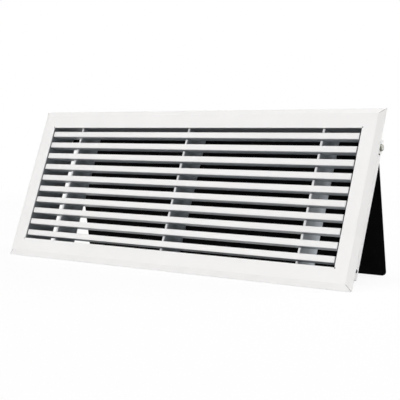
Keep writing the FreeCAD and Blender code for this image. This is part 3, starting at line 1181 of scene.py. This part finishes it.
@dataclass(frozen=True)
class Fitter:
    """Puts finished pieces into the scene."""

    datum: Datum

    def fit(
        self,
        shape: Shape,
        name: str,
        material: bpy.types.Material,
        slot: Slot,
        stands_for: Sequence[str] = (),
        body: Body = Body.GRILLE,
    ) -> bpy.types.Object:
        """Makes a piece of a shape and hangs it on its body.

        Args:
            shape: The mesh in the grille's own axes.
            name: The piece's name.
            material: Its finish.
            slot: The record's material slot; not used.
            stands_for: The CAD nodes that it replaces.
            body: The body that it rides on.

        Returns:
            The piece.
        """
        shape.mesh.transform(self.datum.placement)
        data = bpy.data.meshes.new(name)
        shape.mesh.to_mesh(data)
        shape.mesh.free()
        data.materials.append(material)
        data.shade_smooth()
        data.set_sharp_from_angle(angle=math.radians(CRISP_ANGLE))
        piece = put(name, data)
        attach(piece, body.value)
        if stands_for:
            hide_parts(*stands_for)
        LOG.info("%s: %d faces, rides on %s", name, len(data.polygons), body.value)
        return piece

    def dress(self, node: str, material: bpy.types.Material, edge: float = 0.0) -> None:
        """Gives a CAD node its finish, and softened edges where they are asked for.

        Args:
            node: The CAD node's name.
            material: Its finish.
            edge: The width of the rounding along its sharp edges.
        """
        piece = self.datum.nodes[node]
        piece.data.materials.clear()
        piece.data.materials.append(material)
        if edge:
            weld = piece.modifiers.new("joined_faces", "WELD")
            weld.merge_threshold = WELD * MM
            flats = piece.modifiers.new("flat_faces", "DECIMATE")
            flats.decimate_type = "DISSOLVE"
            flats.angle_limit = math.radians(FLAT_ANGLE)
            rounding = piece.modifiers.new("softened_edges", "BEVEL")
            rounding.width = edge * MM
            rounding.segments = 2
            rounding.limit_method = "ANGLE"
            rounding.angle_limit = math.radians(PUNCHED_ANGLE)
            rounding.harden_normals = True
        LOG.info("%s: CAD node dressed in %s", node, material.name)


# ---------------------------------------------------------------- sub-assemblies


@dataclass
class FaceFrame:
    """The four mitred frame members, with their mitres filled flush on the face."""

    fitter: Fitter
    finishes: Finishes
    face_strip: float = 13.6
    face_wall: float = 1.4
    bevel_width: float = 5.6
    bevel_depth: float = 2.9
    mitre_gap: float = 0.2
    corner_notch: float = 1.2
    fold_margin: float = 0.4
    fill_set_back: float = 0.03
    # The dark strips of painted shade along the open mitres on the bevel.
    shadow_half: float = 0.24
    shadow_depth: float = 0.2
    shadow_proud: float = 0.03
    shadow_end_gap: float = 0.4

    def dress(self) -> None:
        """Coats the four members."""
        for side in Side:
            # The top member takes the coat with the darker painted shade on its inner wall.
            coat = self.finishes.frame_top if side is Side.TOP else self.finishes.frame
            self.fitter.dress(f"frame_{side.label}", coat)

    def opening(self) -> Point2:
        """Half the opening's length and half its height."""
        datum = self.fitter.datum
        return datum.span("frame_right").low.x, datum.span("frame_top").low.z

    def build_mitre_fills(self) -> None:
        """Fills each mitre between the opening's corner and the fold of the bevel."""
        half_x, half_z = self.opening()
        start, end = self.corner_notch, self.face_strip - self.fold_margin
        half = self.mitre_gap / 2 / math.sqrt(2)
        sweep = Vector((0, self.face_wall - 2 * self.fill_set_back, 0))
        for corner in Corner:
            sign_x, sign_z = corner.value
            outline = [
                Vector((
                    sign_x * (half_x + reach + shift),
                    self.fill_set_back,
                    sign_z * (half_z + reach - shift),
                ))
                for reach, shift in ((start, half), (end, half), (end, -half), (start, -half))
            ]
            fill = Shape().plate(outline, sweep)
            name = f"mitre_fill_{corner.label}"
            self.fitter.fit(fill, name, self.finishes.frame, Slot.FRAME)

    def build_painted_mitre_shadows(self) -> None:
        """Paints the shade in each open mitre as a dark strip down the bevel at its corner."""
        half_x, half_z = self.opening()
        start = self.face_strip + self.shadow_end_gap
        end = self.face_strip + self.bevel_width - self.shadow_end_gap
        slope = self.bevel_depth / self.bevel_width
        half = self.shadow_half
        for corner in Corner:
            sign_x, sign_z = corner.value
            # A dark strip of painted shade, where the open mitre lies in shadow.
            joint = Shape()
            for share_x, share_z in ((1, 0), (0, 1)):
                outline = [
                    Vector((
                        sign_x * (half_x + reach - share_x * width),
                        (reach - self.face_strip) * slope - self.shadow_proud,
                        sign_z * (half_z + reach - share_z * width),
                    ))
                    for reach, width in ((start, 0), (start, half), (end, half), (end, 0))
                ]
                joint.plate(outline, Vector((0, self.shadow_depth, 0)))
            name = f"mitre_joint_{corner.label}"
            self.fitter.fit(joint, name, self.finishes.joint, Slot.FRAME)

    def build(self) -> None:
        """Makes the whole frame."""
        self.dress()
        self.build_mitre_fills()
        self.build_painted_mitre_shadows()


@dataclass
class SealingChannel:
    """The corner keys and foam strips in the channel behind the frame's face."""

    fitter: Fitter
    finishes: Finishes
    key_width: float = 9.0
    key_tip_radius: float = 1.6
    key_tip_steps: int = 5
    key_edge: float = 0.12
    dent_radius: float = 1.5
    dent_depth: float = 0.45
    dent_steps: int = 24
    dent_places: tuple[float, ...] = (15.0, 27.0)
    foam_corner: float = 0.7
    foam_corner_steps: int = 4
    foam_step: float = 6.0
    foam_side_play: float = 0.08
    foam_rear_play: float = 0.04
    foam_wave: float = 0.07
    foam_wave_length: float = 9.0

    def build_corner_key(self, corner: Corner) -> None:
        """Cuts one flat angle plate, rounds its tips and strikes the dents that lock it.

        Args:
            corner: The corner where it sits.
        """
        node = f"corner_key_{corner.label}"
        span = self.fitter.datum.span(node)
        sign_x, sign_z = corner.value
        outer_x = span.high.x if sign_x > 0 else span.low.x
        outer_z = span.high.z if sign_z > 0 else span.low.z
        leg, width, depth = span.size.x, self.key_width, span.size.y

        def at(x: float, z: float, y: float = 0.0) -> Vector:
            """A point measured inwards from the key's outer corner."""
            return Vector((outer_x - sign_x * x, span.low.y + y, outer_z - sign_z * z))

        corners = ((0, 0), (leg, 0), (leg, width), (width, width), (width, leg), (0, leg))
        key = Shape().plate([at(x, z) for x, z in corners], Vector((0, depth, 0)))
        key.soften(
            self.key_tip_radius, self.key_tip_steps, lambda a, b: abs(a.y - b.y) > depth / 2
        )
        ball = (self.dent_radius ** 2 + self.dent_depth ** 2) / (2 * self.dent_depth)
        profile = arc((0, 0), ball, -90, 90, self.dent_steps)
        turn = Matrix.Rotation(math.pi / 2, 4, "X")
        for reach in self.dent_places:
            for x, z in ((reach, width / 2), (width / 2, reach)):
                centre = at(x, z, depth + ball - self.dent_depth)
                key.cut(Shape().turned(profile, Matrix.Translation(centre) @ turn))
        key.soften(self.key_edge, 1)
        self.fitter.fit(key, f"crimped_{node}", self.finishes.key, Slot.KEY, [node])

    def build_foam_strip(self, side: Side) -> None:
        """Lays one soft strip, with rounded long edges and a slightly uneven run.

        Args:
            side: The member whose channel it lies in.
        """
        node = f"seal_{side.label}"
        span = self.fitter.datum.span(node)
        upright = side in (Side.LEFT, Side.RIGHT)
        lengthwise, sideways = (2, 0) if upright else (0, 2)
        length = span.size[lengthwise]
        section = rounded_box(
            span.low[sideways] + self.foam_side_play,
            span.high[sideways] - self.foam_side_play,
            span.low.y,
            span.high.y - self.foam_rear_play,
            self.foam_corner,
            self.foam_corner_steps,
        )

        def at(along: float, across: float, deep: float) -> Vector:
            """A point of the strip's skin."""
            x, z = (across, along) if upright else (along, across)
            return Vector((x, deep, z))

        count = round(length / self.foam_step)
        places = [span.low[lengthwise] + length * step / count for step in range(count + 1)]
        strip = Shape().lofted([[at(along, *corner) for corner in section] for along in places])
        strip.ripple(self.foam_wave, self.foam_wave_length).kept_within(span)
        name = f"foam_strip_{side.label}"
        piece = self.fitter.fit(strip, name, self.finishes.foam, Slot.FOAM, [node])

    def build(self) -> None:
        """Makes the four keys and the four strips."""
        for corner in Corner:
            self.build_corner_key(corner)
        for side in Side:
            self.build_foam_strip(side)


@dataclass
class LouvreCore:
    """The ten bars, the three notched mullions and the rivets that hold the mullions."""

    fitter: Fitter
    finishes: Finishes
    bar_count: int = 10
    crown: float = 0.1
    crown_steps: int = 8
    front_radius: float = 0.55
    front_steps: int = 5
    rear_radius: float = 0.25
    rear_steps: int = 3
    end_break: float = 0.25
    end_shifts: Point2 = (-0.6, -0.85)
    mullion_wall: float = 2.2
    mullion_edge: float = 0.18
    rivet_radius: float = 1.6
    rivet_steps: int = 40
    rivet_head_radius: float = 3.2
    rivet_head_height: float = 1.0
    rivet_dome_steps: int = 8
    rivet_rim_height: float = 0.12
    mandrel_profile: tuple[Point2, ...] = ((0, 0.45), (0.5, 0.45), (0.75, 0.4))
    mandrel_bore: float = 0.95
    tail_profile: tuple[Point2, ...] = (
        (2.15, 0.0), (2.3, 0.25), (2.2, 0.7), (1.6, 1.3), (1.15, 1.75), (0.75, 1.85), (0.7, 1.98),
        (0, 2.0),
    )

    def bar_section(self, span: Span) -> list[Point2]:
        """Outlines a bar's section, with a crowned front and rounded edges.

        Args:
            span: Where the bar lies.

        Returns:
            Pairs of depth and height.
        """
        low, high = span.low.z, span.high.z
        middle, half = (low + high) / 2, (high - low) / 2
        r, q = self.front_radius, self.rear_radius
        steps = self.crown_steps

        def front(z: float) -> float:
            """Depth of the crowned front at a height."""
            return span.low.y + self.crown * ((z - middle) / half) ** 2

        heights = [low + r + (high - low - 2 * r) * i / steps for i in range(steps + 1)]
        centre, rear = front(high - r) + r, span.high.y - q
        return [
            *[(front(z), z) for z in heights],
            *arc((centre, high - r), r, 180, 90, self.front_steps)[1:],
            *arc((rear, high - q), q, 90, 0, self.rear_steps),
            *arc((rear, low + q), q, 0, -90, self.rear_steps),
            *arc((centre, low + r), r, 270, 180, self.front_steps)[:-1],
        ]

    def build_bars(self) -> None:
        """Draws the ten bars and breaks the edges of their sawn ends."""
        for number in range(1, self.bar_count + 1):
            node = f"bar_{number:02d}"
            span = self.fitter.datum.span(node)
            ends = (span.low.x + self.end_shifts[0], span.high.x + self.end_shifts[1])
            section = [Vector((ends[0], y, z)) for y, z in self.bar_section(span)]
            bar = Shape().plate(section, Vector((ends[1] - ends[0], 0, 0)))
            bar.soften(self.end_break, chosen=lambda a, b: abs(a.x - b.x) < WELD)
            self.fitter.fit(bar, f"louvre_{node}", self.finishes.bar, Slot.BAR, [node])

    def dress_mullions(self) -> None:
        """Coats the mullions and softens their punched edges."""
        for upright in Upright:
            name = f"mullion_{upright.label}"
            self.fitter.dress(name, self.finishes.mullion, self.mullion_edge)

    def rivet_profile(self, grip: float) -> list[Point2]:
        """Outlines a set blind rivet from the middle of its head to the end of its mandrel.

        Args:
            grip: The thickness that it holds together.

        Returns:
            Pairs of radius and height, with the head's seat at height 0.
        """
        radius, height = self.rivet_head_radius, self.rivet_head_height
        ball = (radius ** 2 + height ** 2) / (2 * height)
        inner, outer = (math.degrees(math.acos(r / ball)) for r in (self.mandrel_bore, radius))
        dome = arc((0, height - ball), ball, inner, outer, self.rivet_dome_steps)
        return [
            *self.mandrel_profile,
            *[(r, max(h, self.rivet_rim_height)) for r, h in dome],
            (radius, 0.0),
            (self.rivet_radius, 0.0),
            (self.rivet_radius, -grip),
            *[(r, -grip - behind) for r, behind in self.tail_profile],
        ]

    def build_rivets(self) -> None:
        """Sets a blind rivet through the foot at each end of every mullion."""
        datum = self.fitter.datum
        group = datum.span("mullion_rivets")
        rivets = Shape()
        for upright in Upright:
            mullion = datum.span(f"mullion_{upright.label}")
            x = (mullion.low.x + mullion.high.x - self.mullion_wall) / 2
            ends = ((1, group.high.z, mullion.high.z), (-1, group.low.z, mullion.low.z))
            for sign, crown, foot in ends:
                seat = crown - sign * self.rivet_head_height
                grip = abs(seat - foot) + self.mullion_wall
                turn = Matrix.Rotation(0 if sign > 0 else math.pi, 4, "X")
                place = Matrix.Translation((x, group.middle.y, seat)) @ turn
                rivets.turned(self.rivet_profile(grip), place, self.rivet_steps)
        nodes = ["mullion_rivets"]
        self.fitter.fit(rivets, "blind_rivets", self.finishes.rivet, Slot.RIVET, nodes)

    def build(self) -> None:
        """Makes the whole core."""
        self.build_bars()
        self.dress_mullions()
        self.build_rivets()


@dataclass
class FoldedFlap:
    """The flap: one black sheet, folded along its top, with a round-ended lug at each end."""

    fitter: Fitter
    finishes: Finishes
    long_run: float = 300.0
    fold_radius: float = 1.5
    fold_steps: int = 4
    sheet_edge: float = 0.12

    def build(self) -> None:
        """Copies the flap's sheet, rounds its long top fold and breaks its cut edges."""
        node = "flap_panel"
        flap = Shape.from_node(self.fitter.datum, node)

        def runs_along(a: Vector, b: Vector) -> bool:
            """Whether an edge runs the flap's length."""
            return abs(a.x - b.x) > self.long_run

        ends = [(edge.verts[0].co, edge.verts[1].co) for edge in flap.mesh.edges]
        fold = min(a.y for a, b in ends if runs_along(a, b))

        def at_fold(a: Vector, b: Vector) -> bool:
            """Whether an edge lies on the outside of the top fold."""
            return runs_along(a, b) and abs(a.y - fold) < WELD

        flap.soften(self.fold_radius, self.fold_steps, at_fold)
        flap.soften(self.sheet_edge, 1)
        self.fitter.fit(flap, "folded_flap", self.finishes.flap, Slot.FLAP, [node], Body.FLAP)


@dataclass
class Pivot:
    """The screw, washer, spacer and round lock nut at one end of the flap's hinge."""

    fitter: Fitter
    finishes: Finishes
    end: End
    screw_radius: float = 1.75
    point_profile: tuple[Point2, ...] = ((0, 0.0), (1.3, 0.0), (1.45, 0.04))
    point_height: float = 0.12
    thread_depth: float = 0.22
    thread_pitch: float = 0.6
    thread_rows: int = 8
    thread_fade: float = 0.6
    thread_lead: float = 0.3
    thread_lead_share: float = 0.4
    plain_length: float = 3.0
    head_break: float = 0.12
    head_rounding: float = 1.2
    head_steps: int = 9
    crown_share: float = 0.6
    recess_width: float = 0.8
    recess_span: float = 3.2
    recess_depth: float = 1.0
    recess_floor: Point2 = (0.7, 0.45)
    recess_clearance: float = 0.2
    bore_play: float = 0.05
    ring_steps: int = 56
    rim_steps: int = 4
    washer_rounding: float = 0.15
    spacer_rounding: float = 0.25
    nut_chamfer: float = 0.35
    knurl_depth: float = 0.12
    knurl_count: int = 26
    knurl_steps: int = 6
    # Size and place of the dark mark under the washer.
    dark_mark_length: float = 4.9
    dark_mark_height: float = 1.0
    dark_mark_steps: int = 32
    dark_mark_proud: float = 0.2
    dark_mark_root: float = 0.3
    dark_mark_edge: float = 0.08
    dark_mark_offset: Point2 = (-0.5, -6.2)

    def placed(self, part: str) -> tuple[Matrix, float, float]:
        """Finds where a turned part lies on the hinge axis.

        Args:
            part: The first part of the CAD node's name.

        Returns:
            A placement at its inner end with z outwards, its length and its outer radius.
        """
        datum = self.fitter.datum
        span = datum.span(f"{part}_{self.end.label}")
        axis = datum.span(f"pivot_screw_{self.end.label}").middle
        sign = self.end.value
        inner_x = span.low.x if sign > 0 else span.high.x
        outwards = Matrix.Rotation(sign * math.pi / 2, 4, "Y")
        place = Matrix.Translation((inner_x, axis.y, axis.z)) @ outwards
        return place, span.size.x, span.size.z / 2

    def fit(
        self, shape: Shape, part: str, name: str, material: bpy.types.Material, slot: Slot
    ) -> None:
        """Puts a finished part into the scene in place of its CAD node.

        Args:
            shape: The part.
            part: The first part of the CAD node's name.
            name: The first part of the piece's name.
            material: Its finish.
            slot: The record's material slot.
        """
        label = self.end.label
        self.fitter.fit(shape, f"{name}_{label}", material, slot, [f"{part}_{label}"])

    def screw_profile(self, length: float, head_seat: float, head_radius: float) -> list[Point2]:
        """Outlines the screw from the middle of its point to the middle of its crown.

        Args:
            length: The whole length.
            head_seat: The height of the head's seat.
            head_radius: The radius of the head.

        Returns:
            Pairs of radius and height.
        """
        start, stop = self.point_height, head_seat - self.plain_length
        rows = int(stop / self.thread_pitch * self.thread_rows)
        edge, rounding = self.head_break, self.head_rounding
        shoulder = (head_radius - rounding, length - rounding)
        return [
            *self.point_profile,
            *[(self.screw_radius, start + (stop - start) * i / rows) for i in range(rows + 1)],
            (self.screw_radius, head_seat),
            (head_radius - edge, head_seat),
            (head_radius, head_seat + edge),
            *arc(shoulder, rounding, 0, 90, self.head_steps),
            (shoulder[0] * self.crown_share, length),
            (0, length),
        ]

    def recess_arm(self, place: Matrix, length: float) -> Shape:
        """Makes one tapered arm of the cross recess, as a cutting tool.

        Args:
            place: The screw's placement, turned to the arm.
            length: The screw's whole length.

        Returns:
            The tool.
        """
        wide, reach = self.recess_width / 2, self.recess_span / 2
        floor_wide, floor_reach = wide * self.recess_floor[0], reach * self.recess_floor[1]
        levels = (
            (length - self.recess_depth, floor_wide, floor_reach),
            (length + self.recess_clearance, wide, reach),
        )
        signs = ((1, 1), (-1, 1), (-1, -1), (1, -1))
        return Shape().lofted([
            [place @ Vector((a * x, b * y, height)) for a, b in signs] for height, x, y in levels
        ])

    def build_screw(self) -> None:
        """Turns the screw, cuts its thread and punches the cross recess."""
        place, length, head_radius = self.placed("pivot_screw")
        washer_place, washer_length, _ = self.placed("pivot_washer")
        washer_reach = abs(washer_place.translation.x - place.translation.x)
        head_seat = washer_reach + washer_length
        thread_end = head_seat - self.plain_length

        def thread(angle: float, radius: float, height: float) -> float:
            """Follows the thread's helix, which fades out towards both ends.

            Args:
                angle: The angle round the screw's axis.
                radius: The profile's radius.
                height: The height along the axis.

            Returns:
                The radius there.
            """
            on_shank = radius < self.screw_radius + TOUCH
            if not on_shank or not self.point_height <= height <= thread_end:
                return radius
            phase = (height / self.thread_pitch - angle / (2 * math.pi)) % 1.0
            groove = abs(2 * phase - 1)
            run_out = (thread_end - height) / self.thread_fade
            lead_in = height / self.thread_lead + self.thread_lead_share
            return radius - self.thread_depth * groove * min(1.0, run_out, lead_in)

        profile = self.screw_profile(length, head_seat, head_radius)
        screw = Shape().turned(profile, place, trim=thread)
        for turn in (0, 90):
            arm_place = place @ Matrix.Rotation(math.radians(turn), 4, "Z")
            screw.cut(self.recess_arm(arm_place, length))
        self.fit(screw, "pivot_screw", "pan_head_screw", self.finishes.steel, Slot.STEEL)

    def ring(self, part: str, rounding: float) -> Shape:
        """Turns a ring with rounded rims.

        Args:
            part: The first part of the CAD node's name.
            rounding: The radius of its outer rims.

        Returns:
            The ring.
        """
        place, length, radius = self.placed(part)
        bore = self.screw_radius + self.bore_play
        outline = rounded_box(bore, radius, 0.0, length, rounding, self.rim_steps)
        return Shape().turned(outline, place, self.ring_steps, ring=True)

    def build_rings(self) -> None:
        """Makes the spacer, and the washer with its flat level with the neck's rear edge."""
        nylon, slot = self.finishes.nylon, Slot.NYLON
        spacer = self.ring("pivot_spacer", self.spacer_rounding)
        self.fit(spacer, "pivot_spacer", "nylon_spacer", nylon, slot)
        rear = self.fitter.datum.span(f"pivot_washer_{self.end.label}").high
        washer = self.ring("pivot_washer", self.washer_rounding).sliced(rear, Vector((0, 1, 0)))
        self.fit(washer, "pivot_washer", "nylon_washer", nylon, slot)

    def build_nut(self) -> None:
        """Turns the slim round nut, chamfers its rims and knurls it."""
        place, length, radius = self.placed("pivot_nut")
        bore = self.screw_radius + self.bore_play
        chamfer, knurl_depth = self.nut_chamfer, self.knurl_depth

        def knurl(angle: float, reach: float, height: float) -> float:
            """Follows the knurled rim.

            Args:
                angle: The angle round the nut's axis.
                reach: The profile's radius.
                height: The height along the axis.

            Returns:
                The radius there.
            """
            if reach < radius - TOUCH:
                return reach
            return reach - knurl_depth * (0.5 - 0.5 * math.cos(angle * self.knurl_count))

        half = [
            (bore, chamfer / 2),
            (bore + chamfer / 2, 0.0),
            (radius - chamfer, 0.0),
            (radius - knurl_depth, chamfer - knurl_depth),
            (radius, chamfer),
        ]
        profile = half + [(reach, length - height) for reach, height in reversed(half)]
        nut = Shape().turned(profile, place, self.knurl_count * self.knurl_steps, knurl, ring=True)
        self.fit(nut, "pivot_nut", "lock_nut", self.finishes.steel, Slot.STEEL)

    def build_dark_mark(self) -> None:
        """Sets a slim dark strip, round at both ends, into the neck under the washer."""
        datum = self.fitter.datum
        washer = datum.span(f"pivot_washer_{self.end.label}")
        axis = datum.span(f"pivot_screw_{self.end.label}").middle
        sign = self.end.value
        wall = washer.low.x if sign > 0 else washer.high.x
        round_end = self.dark_mark_height / 2
        outline = []
        for step in range(self.dark_mark_steps):
            angle = 2 * math.pi * (step + 0.5) / self.dark_mark_steps
            reach = math.copysign(self.dark_mark_length / 2 - round_end, math.cos(angle))
            outline.append(Vector((
                wall - sign * self.dark_mark_root,
                axis.y + self.dark_mark_offset[0] + reach + round_end * math.cos(angle),
                axis.z + self.dark_mark_offset[1] + round_end * math.sin(angle),
            )))
        sweep = Vector((sign * (self.dark_mark_root + self.dark_mark_proud), 0, 0))
        stop = Shape().plate(outline, sweep).soften(self.dark_mark_edge)
        name = f"rubber_stop_{self.end.label}"
        self.fitter.fit(stop, name, self.finishes.rubber, Slot.FLAP)

    def build(self) -> None:
        """Makes all four parts and the dark mark under them."""
        self.build_screw()
        self.build_rings()
        self.build_nut()
        self.build_dark_mark()


# ---------------------------------------------------------------- studio


@dataclass(frozen=True)
class SoftBox:
    """One soft rectangular lamp, in metres and watts."""

    name: str
    place: Point3
    width: float
    height: float
    power: float
    aim: Point3 = (0, 0, 0.08)

    def hang(self) -> None:
        """Puts the lamp into the scene."""
        lamp = bpy.data.lights.new(self.name, "AREA")
        lamp.shape = "RECTANGLE"
        lamp.size, lamp.size_y = self.width, self.height
        lamp.energy = self.power
        place = Vector(self.place)
        put_facing(self.name, lamp, place, Vector(self.aim) - place)


@dataclass(frozen=True)
class Studio:
    """The pale floor, the white surroundings, the soft lamps and the camera."""

    target: Point3 = (0.0121, -0.00174, 0.06593)
    azimuth: float = 37.6598
    elevation: float = 4.0951
    distance: float = 1.0
    lens: float = 91.1
    sensor_width: float = 36.0
    sight: Point2 = (0.01, 50.0)
    floor_half: float = 6.0
    floor_colour: Colour = (0.9, 0.9, 0.9)
    glow_near: float = 0.9
    fade_start: float = 0.35
    fade_end: float = 1.4
    ambient: float = 0.22
    lamps: tuple[SoftBox, ...] = field(default_factory=lambda: (
        SoftBox("front_softbox", (-0.5, -1.9, 1.1), 1.6, 1.2, power=3),
        SoftBox("low_front_softbox", (0.2, -1.9, 0.12), 1.4, 0.22, power=11),
        SoftBox("low_left_softbox", (-1.2, -1.6, 0.2), 1.0, 0.35, power=3.8),
        SoftBox("right_rear_softbox", (1.4, 1.2, 0.8), 1.0, 1.0, power=17),
        SoftBox("overhead_softbox", (0.0, -0.2, 1.9), 1.4, 1.0, power=18.5),
        SoftBox("rear_softbox", (0.3, 1.7, 1.1), 1.2, 1.0, power=4.8),
    ))

    def seen_factor(self, wiring: Wiring) -> bpy.types.NodeSocket:
        """Tells the rays that see a surface from those that only light others.

        Args:
            wiring: The node tree to work in.

        Returns:
            1 for camera, glossy and transmission rays, and 0 for the rest.
        """
        path = wiring.add("ShaderNodeLightPath")
        seen = path.outputs["Is Camera Ray"]
        for name in ("Is Glossy Ray", "Is Transmission Ray"):
            seen = wiring.math("MAXIMUM", seen, path.outputs[name])
        return seen

    def floor_paper(self) -> bpy.types.Material:
        """Makes the floor's paper: pale to the light, and white further out where it is seen.

        Returns:
            The material.
        """
        paper = bpy.data.materials.new("pale_floor_paper")
        paper.use_nodes = True
        wiring = Wiring(paper.node_tree)
        lit = wiring.plain("ShaderNodeBsdfDiffuse", self.floor_colour)
        shown = wiring.plain("ShaderNodeBsdfDiffuse", WHITE)
        glow = wiring.plain("ShaderNodeEmission", WHITE)
        place = wiring.add("ShaderNodeTexCoord").outputs["Object"]
        ends = (self.fade_start, self.fade_end)
        fade = wiring.range(wiring.measure("LENGTH", place), self.glow_near, 1.0, ends)
        seen = wiring.blend(fade, shown, glow)
        output = wiring.add("ShaderNodeOutputMaterial")
        whole = wiring.blend(self.seen_factor(wiring), lit, seen)
        wiring.join(whole, output.inputs["Surface"])
        return paper

    def lay_floor(self) -> None:
        """Lays the pale floor, which shows white and keeps the grille's shadow."""
        data = bpy.data.meshes.new("studio_floor")
        reach = self.floor_half
        corners = [(-reach, -reach, 0), (reach, -reach, 0), (reach, reach, 0), (-reach, reach, 0)]
        data.from_pydata(corners, [], [(0, 1, 2, 3)])
        data.materials.append(self.floor_paper())
        put("studio_floor", data)

    def fill_surroundings(self) -> None:
        """Makes the surroundings white where they are seen and dimmer as light."""
        world = bpy.data.worlds.new("white_surroundings")
        bpy.context.scene.world = world
        world.use_nodes = True
        wiring = Wiring(world.node_tree)
        output = wiring.add("ShaderNodeOutputWorld")
        light = wiring.plain("ShaderNodeBackground", WHITE, self.ambient)
        seen = wiring.plain("ShaderNodeBackground", WHITE, 1.0)
        whole = wiring.blend(self.seen_factor(wiring), light, seen)
        wiring.join(whole, output.inputs["Surface"])

    def set_camera(self) -> None:
        """Stands the camera before the grille's right end, level with its lower half."""
        turn, rise = math.radians(self.azimuth), math.radians(self.elevation)
        level = math.cos(rise)
        back = Vector((math.sin(turn) * level, -math.cos(turn) * level, math.sin(rise)))
        data = bpy.data.cameras.new("studio_camera")
        data.lens, data.sensor_width = self.lens, self.sensor_width
        data.clip_start, data.clip_end = self.sight
        place = Vector(self.target) + back * self.distance
        bpy.context.scene.camera = put_facing("studio_camera", data, place, -back)

    def build(self) -> None:
        """Sets up the whole studio."""
        bpy.context.scene.view_settings.view_transform = "Standard"
        self.set_camera()
        self.lay_floor()
        self.fill_surroundings()
        for lamp in self.lamps:
            lamp.hang()
        LOG.info("studio: camera, floor, surroundings and %d lamps", len(self.lamps))


# ---------------------------------------------------------------- the whole grille


def main() -> None:
    """Builds the grille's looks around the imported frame."""
    logging.basicConfig(level=logging.INFO, format="%(name)s: %(message)s")
    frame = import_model()
    Studio().build()
    datum = Datum.from_frame(frame)
    fitter = Fitter(datum)
    finishes = Finishes.make(datum)
    for part in (FaceFrame, SealingChannel, LouvreCore, FoldedFlap):
        part(fitter, finishes).build()
    for end in End:
        Pivot(fitter, finishes, end).build()


if __name__ == "__main__":
    main()
